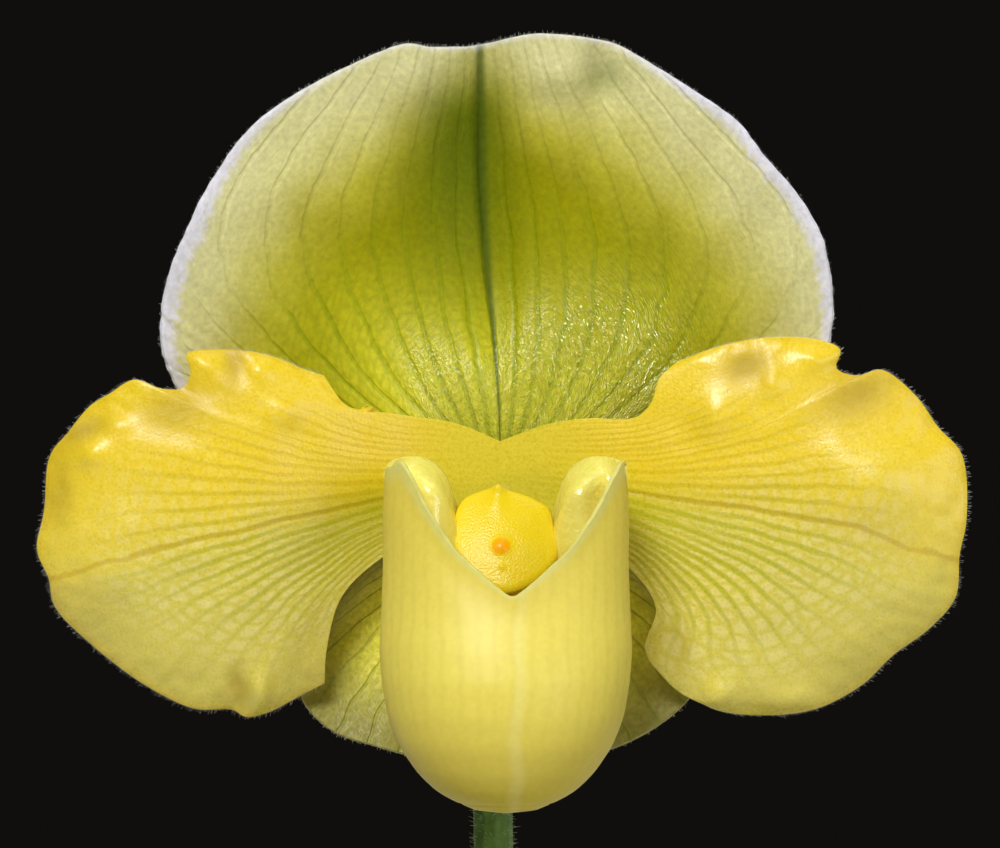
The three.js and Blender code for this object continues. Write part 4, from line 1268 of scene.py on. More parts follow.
@dataclass(frozen=True)
class Petal(Blade):
    """One of the two broad petals, which stand out sideways from narrow claws.

    Attributes:
        crease: The share of the veins that lie below the midrib's crease, at the claw and the tip.
    """

    crease: tuple[float, float] = (0.5, 0.5)

    VEINS = 14
    # Forward and back, in millimetres: past the claw, at either margin and at the two tips
    SWING = 5.2
    MIDRIB_HEIGHT = -9
    SAG_BELOW = 2.6
    SAG_ABOVE = 1.0
    TIP_RIGHT = 3.6
    TIP_LEFT = 1.2
    # How deep a crease is, and how deep a hollow is where its painted shade is full
    CREASE_DEPTH = 0.06
    FULL_HOLLOW_SHADE = 0.4
    RIM_RELIEF = 0.6
    RIM_REACH = 0.16
    EDGE_BLEND = 4
    # The claw's two outer corners, out and up
    NECK = ((15.0, -13.0), (15.0, 2.0))

    @property
    def side(self) -> int:
        """1 for the right petal, -1 for the left."""
        return 1 if self.focus[0] > 0 else -1

    def lead(self, t: float) -> Vector:
        """The direction in which a vein leaves the claw."""
        return Vector((self.side, mix(-0.3, 0.3, t), 0))

    def vein(self, s: float, t: float, end: Vector) -> Vector:
        """A vein's point: it runs along the claw to the neck, then fans out to the margin."""
        low, high = (Vector((*corner, 0)) for corner in self.base)
        root, tip = low.lerp(high, t), Vector((end.x, end.y, 0))
        low, high = (Vector((self.side * x, z, 0)) for x, z in self.NECK)
        neck = low.lerp(high, t)
        first, second = (neck - root).length, (tip - neck).length
        turn = first / (first + second)
        heading = Vector((self.side, mix(-0.55, 0.2, t), 0)).normalized()
        if s < turn:
            return hermite(root, neck, self.lead(t).normalized() * first, heading * first, s / turn)
        arrival = (tip - Vector((*self.focus, 0))).normalized()
        share = (s - turn) / (1 - turn)
        return hermite(neck, tip, heading * second, arrival * second, share)

    def body(self, s: float, t: float, spot: Vector) -> float:
        """Forward beyond the claw, then back towards both margins and the tip."""
        out = abs(spot.x)
        swing = self.SWING * smoothstep(5, 34, out)
        from_midrib = (spot.y - self.MIDRIB_HEIGHT) / 22
        sag = self.SAG_BELOW if from_midrib < 0 else self.SAG_ABOVE
        droop = sag * from_midrib**2 * smoothstep(0, 45, out)
        tip = (self.TIP_RIGHT if self.side > 0 else self.TIP_LEFT) * (out / 57) ** 3
        return -1 + 0.08 * self.side + swing - droop + tip

    def number(self, s: float, t: float) -> float:
        """The vein number, 0 along the crease of the midrib."""
        return (t - mix(*self.crease, s)) * self.VEINS

    def relief(self, s: float, t: float, spot: Vector) -> float:
        """Swellings, hollows, the crease of the midrib and a fine waver of the margin."""
        number = self.number(s, t)
        crease = -self.CREASE_DEPTH * bell(number, 0, 0.2)
        crease *= smoothstep(0.08, 0.3, s) * (1 - smoothstep(0.75, 0.95, s))
        soft = grain(spot, 5.5, 4.0) * 0.35 * smoothstep(0.2, 0.6, s)
        waver = grain(spot, 1.7, 9.0) * 0.22 * smoothstep(0.8, 1, s)
        return super().relief(s, t, spot) + crease + soft + waver

    def marks(self) -> dict[str, Callable[[float, float], float]]:
        """How deep in a hollow the petal lies, from 0 to 1, which the finish paints as shade."""

        def hollow(s: float, t: float) -> float:
            spot = self.flat(s, t)
            sunk = sum(min(0.0, swell.at(spot)) for swell in self.swells)
            return clamp01(-sunk / self.FULL_HOLLOW_SHADE)

        return {"hollow": hollow}

    def finish(self) -> bpy.types.Material:
        """Petal tissue."""
        return PetalTissue(name=f"{self.name.replace('_', ' ')} tissue").make()


class DorsalSepal(Blade):
    """The broad hood behind and above the petals."""

    SETBACK = 2.3
    DEPTH = 7.2
    FOLD_DEPTH = 2.2
    MIDRIB_LEAN = -2.5
    NEARBY = 0.2
    # height, share of the veins' greatest distance from the midrib
    SPREAD = (
        (-3, 0.16), (1, 0.36), (5, 0.56), (10, 0.76), (16, 0.91), (24, 1.0), (31, 0.96),
        (38, 0.8), (45, 0.62), (52, 0.45),
    )
    # place along the margin, width of the white rim in millimetres
    RIM_WIDTH = (
        (0, 1.2), (0.08, 1.4), (0.16, 1.4), (0.22, 0.8), (0.28, 0.25), (0.36, -0.4),
        (0.62, -0.4), (0.66, 0.0), (0.7, 0.35), (0.76, 0.7), (0.82, 0.9), (0.9, 1.1), (1, 0.8),
    )
    WET = (Swell(8.5, 7.5, 14, 7.5, 35, 1.1), Swell(-5.5, 5.5, 8, 3.6, 125, 0.6))
    # A greener patch at a dip near the top, partly painted shade of that dip
    DIP_SHADE_BLOTCH = Swell(13, 46.6, 3.0, 2.4, 0, 0.45)

    def body(self, s: float, t: float, spot: Vector) -> float:
        """A hollow hood with a sharp fold along its midrib."""
        fold = bell(t, 0.5, 0.05) * smoothstep(0.02, 0.5, s)
        hollow = self.DEPTH * math.sin(0.72 * math.pi * s) ** 1.2
        return -self.SETBACK - hollow - self.FOLD_DEPTH * fold

    def bow(self, spot: Vector) -> float:
        """How far from the midrib a vein through a place runs where it is furthest out."""
        midrib = self.MIDRIB_LEAN * smoothstep(0, 38, spot.y)
        spread = eased(lambda z: look_up(self.SPREAD, z), spot.y, (-4, -2, 0, 2, 4))
        return (spot.x - midrib) / spread

    def number_at(self, spot: Vector) -> float:
        """The vein number at a place, 0 along the midrib."""
        bow = self.bow(spot)
        return bow / (3.0 + 0.035 * abs(bow))

    def relief(self, s: float, t: float, spot: Vector) -> float:
        """Crinkles that run in from the rim, shallow furrows over the veins and soft swellings."""
        arc, inward = self.edge_chart(s, t)
        sides = 1 - bell(t, 0.5, 0.17)
        crinkle = grain(Vector((arc, 0.15 * inward, 0)), 1.15, 2.0)
        crinkle *= 0.42 * math.exp(-inward / 5.5) * mix(0.3, 1, sides)
        furrow = -0.12 * bell((self.number_at(spot) + 0.5) % 1 - 0.5, 0, 0.2)
        furrow *= smoothstep(4, 16, inward)
        soft = grain(spot, 7.0, 6.0) * 0.3 * smoothstep(0.3, 0.8, s)
        return super().relief(s, t, spot) + crinkle + furrow + soft

    def vein_chart(self, s: float, t: float) -> tuple[float, float]:
        """The vein number and the space between veins, in millimetres."""
        spot, step = self.flat(s, t), Vector((self.NEARBY, 0, 0))
        change = self.number_at(spot + step) - self.number_at(spot - step)
        return self.number_at(spot), 2 * self.NEARBY / max(change, 0.01)

    def marks(self) -> dict[str, Callable[[float, float], float]]:
        """The white rim's width, how wet the tissue looks, and the dark blotch, partly painted shade
        of a dip.
        """

        def wetness(s: float, t: float) -> float:
            return clamp01(0.05 + sum(swell.at(self.flat(s, t)) for swell in self.WET))

        return {
            "rim_width": lambda s, t: look_up(self.RIM_WIDTH, t),
            "wetness": wetness,
            "dip_shade_blotch": lambda s, t: self.DIP_SHADE_BLOTCH.at(self.flat(s, t)),
        }

    def finish(self) -> bpy.types.Material:
        """Dorsal sepal tissue."""
        return DorsalSepalTissue().make()


class Synsepal(Blade):
    """The joined lower sepals, behind the pouch."""

    LEADS = (205, 335)
    SETBACK = 2.7
    DEPTH = 4.4
    KEEL_DEPTH = 0.5
    WAVER = 0.4

    def body(self, s: float, t: float, spot: Vector) -> float:
        """A shallow bowl behind the pouch."""
        return -self.SETBACK - self.DEPTH * math.sin(0.8 * math.pi * s)

    def relief(self, s: float, t: float, spot: Vector) -> float:
        """Two keels, and a soft waver."""
        keels = (bell(t, 0.38, 0.03) + bell(t, 0.62, 0.03)) * smoothstep(0.1, 0.5, s)
        return grain(spot, 5.0, 1.0) * self.WAVER * s - self.KEEL_DEPTH * keels

    def finish(self) -> bpy.types.Material:
        """Synsepal tissue."""
        return SynsepalTissue().make()


WHITE_HAIR = PlantHair("white margin hair", "#e8e6e0")
YELLOW_HAIR = PlantHair("yellow margin hair", "#d8d0a0")
STEM_HAIR = PlantHair("stem hair", "#b9c29a")

PETAL_FRINGE = Fringe(0.17, 0.3, 0.85, 0.019, WHITE_HAIR)

RIGHT_PETAL = Petal(
    name="petal_right",
    base=((-0.4, -8.4), (-0.4, 0.9)),
    edges=(
        (
            (-0.4, -8.4), (3.8, -8.9), (10, -11), (16.3, -15), (19.3, -19.6), (18, -24.8),
            (20.4, -28.2), (24, -29.4),
        ),
        (
            (-0.4, 0.9), (5.6, 3.1), (11, 3.9), (14.8, 3.8), (17, 4.1), (18.7, 5.8), (19.8, 8.9),
            (21.9, 10.9),
        ),
    ),
    margin=(
        (24, -29.4, -0.9), (25.4, -31.6, -0.3),
        (28.6, -32.7, -0.5), (35.3, -32.9, -1.6), (40.2, -31.9, -2.0), (45.1, -29.2, -1.8),
        (48.8, -25.5, 0.6), (53.3, -22.1, 2.0), (56.4, -18.2, 4.0), (56.8, -12.9, 6.0),
        (57.6, -8.7, 6.6), (57.1, -0.6, 5.6), (54.2, 2.8, 5.2), (51.4, 6.7, 5.4),
        (47.2, 9.9, 5.4), (44.1, 9.2, 5.4), (41.6, 10.1, 5.2), (42.1, 12.4, 4.6),
        (39.1, 13.7, 3.6), (32.7, 13.9, 3.6), (26.7, 12.7, 3.4), (21.9, 10.9, 2.0),
    ),
    apex_row=10,
    focus=(21, -4),
    crease=(0.553, 0.447),
    grid=(96, 220),
    thickness=0.7,
    slot=Slot.PETAL,
    fringe=PETAL_FRINGE,
    swells=(
        Swell(30.4, 10.4, 3.2, 2.2, 20, -0.45),
        Swell(44.2, 7.0, 5.5, 3.0, 25, -0.4),
        Swell(26.2, 4.6, 2.4, 3.2, 0, 0.9),
        Swell(33.6, 8.6, 1.3, 1.8, 0, 0.5),
        Swell(38.6, 11.5, 1.8, 1.4, 0, 0.5),
        Swell(46.0, -4.5, 7.0, 5.0, -20, 1.7),
        Swell(27.4, -30.6, 1.8, 2.2, -10, 1.3),
        Swell(36.5, -31.4, 3.6, 2.0, 0, 1.2),
        Swell(22.0, -24.0, 1.4, 3.0, 10, -0.2),
    ),
)

LEFT_PETAL = Petal(
    name="petal_left",
    base=((0.4, -8.4), (0.4, 0.9)),
    edges=(
        (
            (0.4, -8.4), (-3.8, -8.9), (-9, -10.4), (-14.8, -13.5), (-19.6, -18.2),
            (-21.5, -24.8), (-21.8, -29),
        ),
        (
            (0.4, 0.9), (-5.6, 3.3), (-10.6, 4.1), (-14.2, 4.6), (-17, 4.8), (-19.2, 5.6),
            (-20.6, 7.3), (-21.8, 9.2),
        ),
    ),
    margin=(
        (-21.8, -29, -0.8), (-25.2, -30.8, -0.8), (-28.8, -32.6, 0.2),
        (-31.4, -33.2, 0.3), (-33.4, -32.3, -1.0), (-38, -32.2, -1.6), (-44.3, -29.2, -2.2),
        (-51.7, -23.5, -2.4), (-55.4, -19.4, -1.2), (-56, -16, 0.6), (-57.5, -12.4, 0),
        (-56.7, -7.6, -1.6), (-56, -0.9, -1), (-53.6, 2.2, 0.8), (-51, 5.4, -0.6),
        (-48.4, 7, 1.2), (-45.3, 8.7, 2.6), (-42, 7.6, 3.8), (-39.2, 7.7, 3.9),
        (-38.3, 9.6, 3.7), (-38.8, 11.9, 3.0), (-35.4, 12.4, 2.4), (-31, 12.2, 3),
        (-27.6, 11.4, 2.2), (-24.6, 10.1, 1.8), (-21.8, 9.2, 2.0),
    ),
    apex_row=10,
    focus=(-21, -4),
    crease=(0.443, 0.458),
    grid=(96, 220),
    thickness=0.7,
    slot=Slot.PETAL,
    fringe=PETAL_FRINGE,
    swells=(
        Swell(-32.9, 10.8, 1.5, 3.0, 0, -0.35),
        Swell(-39.9, 5.2, 5.5, 3.2, 20, -0.3),
        Swell(-51.7, 2.4, 3.2, 1.6, 25, -0.4),
        Swell(-54.6, -5.7, 1.6, 4.0, 0, -0.25),
        Swell(-26.6, 4.6, 2.0, 1.9, 0, 0.75),
        Swell(-29.8, 10.0, 1.4, 1.6, 0, 0.5),
        Swell(-36.8, 10.8, 1.2, 1.2, 0, 0.4),
        Swell(-47.2, 3.2, 1.8, 1.5, 0, 0.6),
        Swell(-50.6, -0.6, 2.0, 1.6, 0, 0.7),
        Swell(-49.5, -15.5, 5.0, 3.0, 10, 0.7),
        Swell(-29.6, -30.2, 1.5, 2.4, 15, 1.3),
        Swell(-32.4, -29.5, 1.2, 2.6, 10, -0.35),
    ),
)

DORSAL_SEPAL = DorsalSepal(
    name="dorsal_sepal",
    base=((-4.2, -2.4), (4.2, -2.4)),
    edges=(
        ((-4.2, -2.4), (-15, -1), (-29, 2), (-40, 7.2)),
        ((4.2, -2.4), (15, -1), (29, 2.4), (39.4, 8.4)),
    ),
    margin=(
        (-40, 7.2, -4), (-41.9, 12.4, -2.6), (-41.9, 17.4, -1), (-40.6, 22.6, 0.6),
        (-38.5, 27.3, 1.6), (-35.8, 32.9, 1), (-31.1, 39.4, 1.6), (-25.5, 43.8, 0.4),
        (-19.3, 47.2, 0.2), (-11.8, 50.1, 1.8), (-8.1, 49.8, 0.4), (-4.7, 49.9, -0.6),
        (-2.4, 50.3, -2.6), (0.6, 50.9, -0.8), (4.3, 51.4, 0.8), (9.9, 51, 1.6),
        (14.3, 50.2, -0.2), (18, 48.1, 0.4), (24.2, 44.1, 2), (29.2, 40.6, 1.2),
        (32.3, 36.6, 1.8), (36.6, 31.7, 0.8), (39.7, 26.1, 1.4), (41, 20.5, 0),
        (41.2, 15.6, -1.6), (39.4, 8.4, -4),
    ),
    apex_row=12,
    focus=(0, -24),
    grid=(90, 260),
    thickness=0.6,
    slot=Slot.SEPAL,
    fringe=Fringe(0.09, 0.3, 0.85, 0.024, WHITE_HAIR),
    swells=(
        Swell(7.0, 46.5, 4.0, 2.6, 0, 1.0),
        Swell(13.0, 46.0, 2.4, 4.0, 20, -1.0),
        Swell(-11.0, 45.5, 3.5, 3.0, 0, 0.7),
        Swell(-26.0, 33.0, 6.0, 4.0, 45, 0.8),
    ),
)

SYNSEPAL = Synsepal(
    name="synsepal",
    base=((-4, -9.1), (4, -9.1)),
    edges=(
        ((-4, -9.1), (-8, -10.6), (-12, -12.2), (-16, -14.8)),
        ((4, -9.1), (8, -10.6), (12, -12.2), (16, -14.8)),
    ),
    margin=(
        (-16, -14.8, -3.6), (-20.5, -19.9, -3.8), (-24.2, -26.1, -4), (-24.7, -30.7, -3),
        (-21.1, -34.8, -2.4), (-14.9, -37, -2.2), (-7.5, -38.8, -2.6), (0, -39.6, -3.4),
        (7.5, -38.6, -2.6), (14.3, -37, -2.2), (21.1, -33.2, -2.6), (24.6, -29.2, -3.2),
        (24.2, -24.8, -4), (21.1, -19.3, -4), (16, -14.8, -3.6),
    ),
    apex_row=7,
    focus=(0, 4),
    grid=(60, 120),
    thickness=0.6,
    slot=Slot.SEPAL,
    fringe=Fringe(0.15, 0.25, 0.7, 0.032, YELLOW_HAIR),
)


# The pouch and what its mouth shows


@dataclass(frozen=True)
class Pouch:
    """The slipper: a deep bowl with a flared lip, an ear on each side and folded-in side lobes."""

    across: float = 0.7
    wall: float = 0.55
    rim_half: float = 15.0
    skew: float = 0.8
    bowl_top: float = -22.0
    bowl_share: float = 0.6
    lip_flare: float = 0.3
    lip_groove: float = 0.1
    claw_depth: float = 5.6
    lobe_depth: float = 7.0
    ear_roll: float = 1.6
    veins: int = 42
    grid: tuple[int, int] = (110, 192)

    # height, half width, front and back
    PROFILE = (
        (-43.8, 0, 20, 20), (-43.3, 3.8, 24, 16), (-41.6, 7.8, 27.2, 12.8),
        (-39, 10.6, 29.4, 10.6), (-35.6, 12.9, 31.2, 8.8), (-32, 14.3, 32, 7.6),
        (-27.8, 15, 32, 6.6), (-24, 15.3, 31, 5.9), (-20, 15.1, 29.4, 5.4),
        (-14, 14.9, 27.6, 4.9), (-7, 15, 25.6, 4.5), (-1, 14.6, 24, 4.4),
    )
    # distance from the middle, height
    FRONT_RIM = (
        (0, -17.7), (2.9, -15.5), (7.3, -11.6), (10.2, -7.3), (12.4, -3.4), (13.6, -1.5),
        (14.4, -1.1), (15, -2),
    )
    BACK_RIM = (
        (0, -9.7), (2.2, -9.9), (3.4, -12.4), (5, -12), (6, -9), (7, -5), (8.4, -2.4),
        (10.6, -1.2), (13.4, -0.9), (14.3, -1.2), (15, -2.2),
    )

    def profile(self, height: float, column: int) -> float:
        """The profile at a height, smoothed between its rows."""
        steps = (0.0,) if height < self.PROFILE[0][0] + 1.2 else (-0.9, -0.45, 0.0, 0.45, 0.9)
        return eased(lambda z: look_up(self.PROFILE, z, column), height, steps)

    def rim(self, angle: float) -> float:
        """The rim's height at an angle, with its corners eased."""

        def sharp(at: float) -> float:
            front = math.cos(at) > 0
            rows = self.FRONT_RIM if front else self.BACK_RIM
            return look_up(rows, abs(math.sin(at) * self.rim_half - (self.skew if front else 0)))

        return eased(sharp, angle, (-0.05, -0.025, 0.0, 0.025, 0.05))

    def angle(self, turn: float) -> float:
        """The angle from the front at a share of the way round from the back."""
        return (turn - 0.5) * math.tau + self.skew / self.rim_half

    def place(self, v: float, turn: float) -> Vector:
        """A point of the outer skin, from the toe's tip at v = 0 to the rim at v = 1."""
        angle = self.angle(turn)
        sine, cosine = math.sin(angle), math.cos(angle)
        rim = self.rim(angle)
        if v < self.bowl_share:
            curve = 1 - math.cos(v / self.bowl_share * math.pi / 2) ** 0.9
            height = mix(self.PROFILE[0][0], self.bowl_top, curve)
        else:
            height = mix(self.bowl_top, rim, (v - self.bowl_share) / (1 - self.bowl_share))
        half, fore, back = (self.profile(height, column) for column in (1, 2, 3))
        across = half * sine
        forward = mix(fore, back, (1 - cosine) / 2)
        below = rim - height
        if cosine > 0:
            facing = smoothstep(0.05, 0.5, cosine)
            forward += facing * self.lip_flare * math.exp(-below)
            forward -= facing * self.lip_groove * bell(below, 3.2, 2.4)
        else:
            claw = bell(across, 0, 3.2) * smoothstep(-17, -9.8, height)
            lobe = bell(abs(across), 8.5, 3.5) * smoothstep(-24, -11, height)
            ear = smoothstep(-0.45, 0.0, cosine) * smoothstep(4.0, 0.0, below)
            forward += self.lobe_depth * lobe * smoothstep(-0.4, 3.2, below)
            forward += self.ear_roll * ear - self.claw_depth * claw
        return in_flower(self.across + across, height, forward)

    def charts(self) -> dict[str, Chart]:
        """Vein number with the space between veins, and the distance below the rim and the lobes."""
        girth = math.tau * self.rim_half * 0.95

        def veins(v: float, turn: float) -> tuple[float, float]:
            return (turn - 0.5) * self.veins, girth * min(1.0, 0.15 + 1.6 * v) / self.veins

        def mouth(v: float, turn: float) -> tuple[float, float]:
            cosine = math.cos(self.angle(turn))
            below = max(0.0, (1 - v) / (1 - self.bowl_share)) * 8
            inner = (1 - smoothstep(-0.25, 0.1, cosine)) * smoothstep(0.55, 0.8, v)
            return below, inner

        return {"veins": veins, "mouth": mouth}

    def build(self) -> None:
        """Build the pouch."""
        mesh = surface("pouch", self.grid, self.place, self.charts(), wraps=True, capped=False)
        piece = add_piece("pouch", mesh, PouchWax().make(), Slot.POUCH, ["pouch"])
        give_body(piece, self.wall, 0.42 * self.wall)


@dataclass(frozen=True)
class Column:
    """The column with its staminode shield, its stigma and an anther at each side."""

    height: float = -6.6
    tilt: float = 27.0
    shield_across: float = 0.6
    shield_height: float = -10.8
    shield_forward: float = 10.4
    shield_thickness: float = 1.2

    # degrees round from its right, radius
    SHIELD_OUTLINE = (
        (0, 6.4), (17, 6.2), (37, 6.95), (51, 6.5), (78, 6.4), (97, 6.9), (119, 7.2),
        (134, 7.5), (157, 6.85), (198, 6.7), (240, 6.9), (272, 7.8), (304, 7.2), (334, 7.2),
        (360, 6.4),
    )
    # across, its reach, up, its reach and height of the boss, the tip's bump and the point below
    SHIELD_BUMPS = (
        (-0.47, 1.0, -1.8, 1.0, 0.4), (-0.8, 0.55, 6.4, 0.8, 0.9), (-0.4, 0.3, -4.4, 0.35, 0.3),
    )

    def shield_point(self, share: float, turn: float, layer: int) -> Vector:
        """A point of the staminode's face or back."""
        angle = turn * 360
        edge = eased(lambda a: look_up(self.SHIELD_OUTLINE, a % 360), angle, (-6, -3, 0, 3, 6))
        x = share * edge * math.cos(math.radians(angle))
        y = share * edge * math.sin(math.radians(angle))
        half = self.shield_thickness / 2
        if layer < 0:
            lift = -half * (1 - 0.7 * smoothstep(0.85, 1, share))
        else:
            lift = half + (1 - share * share) - 0.5 * half * smoothstep(0.86, 1, share) ** 2
            for x0, x_reach, y0, y_reach, rise in self.SHIELD_BUMPS:
                lift += rise * bell(x, x0, x_reach) * bell(y, y0, y_reach)
            lift += 0.5 * bell(x, -0.9, 1.1) * smoothstep(1.5, 5.5, y)
            lift += 0.03 * grain(Vector((x, y, 0)), 1.6, 5.0)
        lean = math.radians(self.tilt)
        up = Vector((0, math.sin(lean), math.cos(lean)))
        face = ACROSS.cross(up)
        centre = in_flower(self.shield_across, self.shield_height, self.shield_forward)
        return centre + ACROSS * x + up * y + face * lift

    def build_shield(self) -> None:
        """Build the staminode: its face and back meet at the edge."""

        def place(v: float, turn: float) -> Vector:
            layer, share = (1, v * 2) if v < 0.5 else (-1, 2 - 2 * v)
            return self.shield_point(share, turn, layer)

        def face(v: float, turn: float) -> tuple[float, float]:
            share = v * 2 if v < 0.5 else 2 - 2 * v
            radius = share * look_up(self.SHIELD_OUTLINE, turn * 360)
            angle = turn * math.tau
            return radius * math.cos(angle), radius * math.sin(angle)

        mesh = surface("staminode", (60, 96), place, {"face": face}, wraps=True)
        add_piece("staminode", mesh, StaminodeCrystal().make(), Slot.STAMINODE, ["staminode"])

    def build(self) -> None:
        """Build the column and all that it carries."""
        flesh = SoftFlesh("column flesh", "#d6d05c", "#c2c04a").make()
        rows = ((0, 0.2, -0.3), (0.2, -0.6, 3.5), (0.5, -1.4, 6.1))
        spine = Spline(in_flower(x, self.height + z, forward) for x, z, forward in rows)

        def stout(along: float, _: float) -> float:
            rounded = math.sqrt(max(0.0, 1 - smoothstep(0.86, 1.0, along) ** 2))
            return mix(2.2, 2.5, smoothstep(0.3, 1, along)) * rounded

        mesh = tube("column", spine, (30, 40), stout)
        add_piece("column", mesh, flesh, Slot.COLUMN, ["column"])
        self.build_shield()
        self.build_stigma(flesh)
        self.build_anthers()

    def build_stigma(self, flesh: bpy.types.Material) -> None:
        """Build the stigma, a convex disc that faces down."""
        centre = in_flower(0.4, self.height - 4, 5.9)

        def place(v: float, turn: float) -> Vector:
            angle = turn * math.tau
            polar = math.pi * v
            flat = 2.5 * math.sin(polar)
            rise = 0.4 * math.cos(polar) if v > 0.5 else 1.2 * math.cos(polar)
            return centre + Vector((flat * math.cos(angle), flat * math.sin(angle), -rise))

        mesh = surface("stigma", (16, 32), place, wraps=True)
        add_piece("stigma", mesh, flesh, Slot.COLUMN, ["stigma"])

    def build_anthers(self) -> None:
        """Build the two anthers, each a sticky mass with a furrow along it."""
        pollen = SoftFlesh("sticky pollen mass", "#d8a32a", "#b9801c", 0.6, 0.3).make()
        for side, name in ((-1, "anther_left"), (1, "anther_right")):
            centre = in_flower(0.3 + side * 3.9, self.height - 1.6, 4.9)
            bm = bmesh.new()
            bmesh.ops.create_uvsphere(bm, u_segments=24, v_segments=16, radius=1.5)
            for vert in bm.verts:
                furrow = 1 - 0.14 * bell(vert.co.x * side, 1.3, 0.8) * bell(vert.co.z, 0, 0.4)
                vert.co = Vector((vert.co.x * 0.9, vert.co.y * 1.25, vert.co.z)) * furrow
            bmesh.ops.translate(bm, verts=bm.verts, vec=centre)
            bmesh.ops.scale(bm, verts=bm.verts, vec=(MM, MM, MM))
            add_piece(name, to_mesh(bm, name), pollen, Slot.POLLEN, [name])


# The stem, the ovary and the bract

HAIR_RADIUS = 0.04
HAIR_SUNK = 0.08


def plant_hairs(
    name: str,
    curve: Spline,
    radius: Callable[[float, float], float],
    count: int,
    lengths: tuple[float, float],
    finish: PlantHair,
    slot: Slot,
) -> None:
    """Cover a round form with short hairs.

    Args:
        name: The piece's name.
        curve: The form's middle line.
        radius: The form's radius at a share of the length and an angle.
        count: How many hairs it has.
        lengths: The shortest and the longest hair, in millimetres.
        finish: What the hairs are made of.
        slot: The record's slot.
    """
    draw = random.Random(name)
    spots = []
    for number in range(count):
        along = mix(0.01, 0.99, (number + draw.random()) / count)
        angle = draw.random() * math.tau
        root = around(curve, along, angle, radius(along, angle) - HAIR_SUNK)
        outward = (root - curve.at(along)).normalized()
        lean = Vector((draw.gauss(0, 0.25), draw.gauss(0, 0.25), draw.gauss(0.1, 0.3)))
        size = Vector((HAIR_RADIUS, HAIR_RADIUS, mix(*lengths, draw.random())))
        spots.append(frame_at(root, outward + lean, size))
    add_piece(name, scatter(name, [hair_shape()], spots), finish.make(), slot)


@dataclass(frozen=True)
class FlowerStem:
    """The hairy stem from the fan up to the ovary behind the flower, and the bract between them."""

    foot: Vector = Vector((0, 1, 89))
    thickness: float = 2.5
    clearance: float = 0.3

    # across, height and forward of the flower's centre
    OVARY = (
        (-1, -44, -26), (-1, -34, -26), (-0.8, -22, -24.4), (-0.5, -12, -19), (-0.2, -6.2, -11),
        (0, -4.6, -3.2),
    )

    @property
    def top(self) -> Vector:
        """Where the stem meets the ovary."""
        return in_flower(*self.OVARY[0])

    def stem_curve(self) -> Spline:
        """The stem's middle line."""
        return Spline(
            [
                self.foot,
                self.foot + Vector((0, 0, 55)),
                self.foot + Vector((0.5, 1.4, 110)),
                self.top + Vector((0.8, -0.8, -50)),
                self.top + Vector((0, 0, self.clearance)),
            ]
        )

    def ovary_curve(self) -> Spline:
        """The ovary's middle line, which bends forward to the flower."""
        return Spline(in_flower(*row) for row in self.OVARY)

    def stem_radius(self, along: float, angle: float) -> float:
        """The stem, with shallow ribs and a slight unevenness."""
        uneven = 0.05 * grain(Vector((along * 60, math.cos(angle), math.sin(angle))), 1.0)
        return self.thickness * mix(1.12, 1, along) + 0.06 * math.cos(9 * angle) + uneven

    def ovary_radius(self, along: float, angle: float) -> float:
        """The ovary, swollen in its middle and ribbed."""
        swell = 2.5 + 1.1 * math.sin(math.pi * clamp01(along * 1.15))
        swell += 1.5 * smoothstep(0.86, 1, along)
        return swell + 0.34 * math.sin(math.pi * along) * math.cos(6 * angle)

    def bract_point(self, s: float, t: float) -> Vector:
        """A point of the bract, folded round the ovary's foot from behind."""
        along = self.ovary_curve().at(mix(0.01, 0.62, s))
        v = 2 * t - 1
        wrap = math.radians(mix(158, 40, s**1.4)) * v
        radius = mix(3.7, 6.8, smoothstep(0, 0.4, s)) + 1.6 * s
        keel = 0.5 * bell(v, 0, 0.12) * smoothstep(0.1, 0.4, s)
        rise = 37 * s * (1 - 0.28 * v * v * s)
        return Vector(
            (
                along.x + (radius + keel) * math.sin(wrap),
                along.y + (radius + keel) * math.cos(wrap),
                self.top.z + 0.4 + rise,
            )
        )

    def build(self) -> None:
        """Build the stem, the ovary and the bract, with their hairs."""
        green = SoftFlesh("stem skin", "#48661e", "#5f7f2c", 1.5, 0.6).make()
        mesh = tube("stem", self.stem_curve(), (150, 54), self.stem_radius)
        add_piece("stem", mesh, green, Slot.STEM, ["stem"])
        plant_hairs(
            "stem_hairs", self.stem_curve(), self.stem_radius, 4200, (0.35, 1.1), STEM_HAIR,
            Slot.STEM,
        )
        skin = SoftFlesh("ovary skin", "#7d8f3c", "#94a04c", 1.6, 0.55).make()
        mesh = tube("ovary", self.ovary_curve(), (90, 72), self.ovary_radius)
        add_piece("ovary", mesh, skin, Slot.OVARY, ["ovary"])
        plant_hairs(
            "ovary_hairs", self.ovary_curve(), self.ovary_radius, 1700, (0.3, 0.9), STEM_HAIR,
            Slot.OVARY,
        )
        sheath = SoftFlesh("bract skin", "#7f9c46", "#9aae62", 2.0, 0.5).make()
        outer = self.ovary_curve().at(0.3) + Vector((0, 10, 0))
        mesh = surface("bract", (60, 60), self.bract_point, faces_to=(outer - self.top).normalized())
        piece = add_piece("bract", mesh, sheath, Slot.BRACT, ["bract"])
        give_body(piece, 0.7, 0.2)


# The leaves


@dataclass(frozen=True)
class StrapLeaf:
    """One leaf of a fan: its length, half width, leans from the vertical and sideways sweep."""

    length: float
    half_width: float
    lean_at_base: float
    lean_at_tip: float
    sweep: float


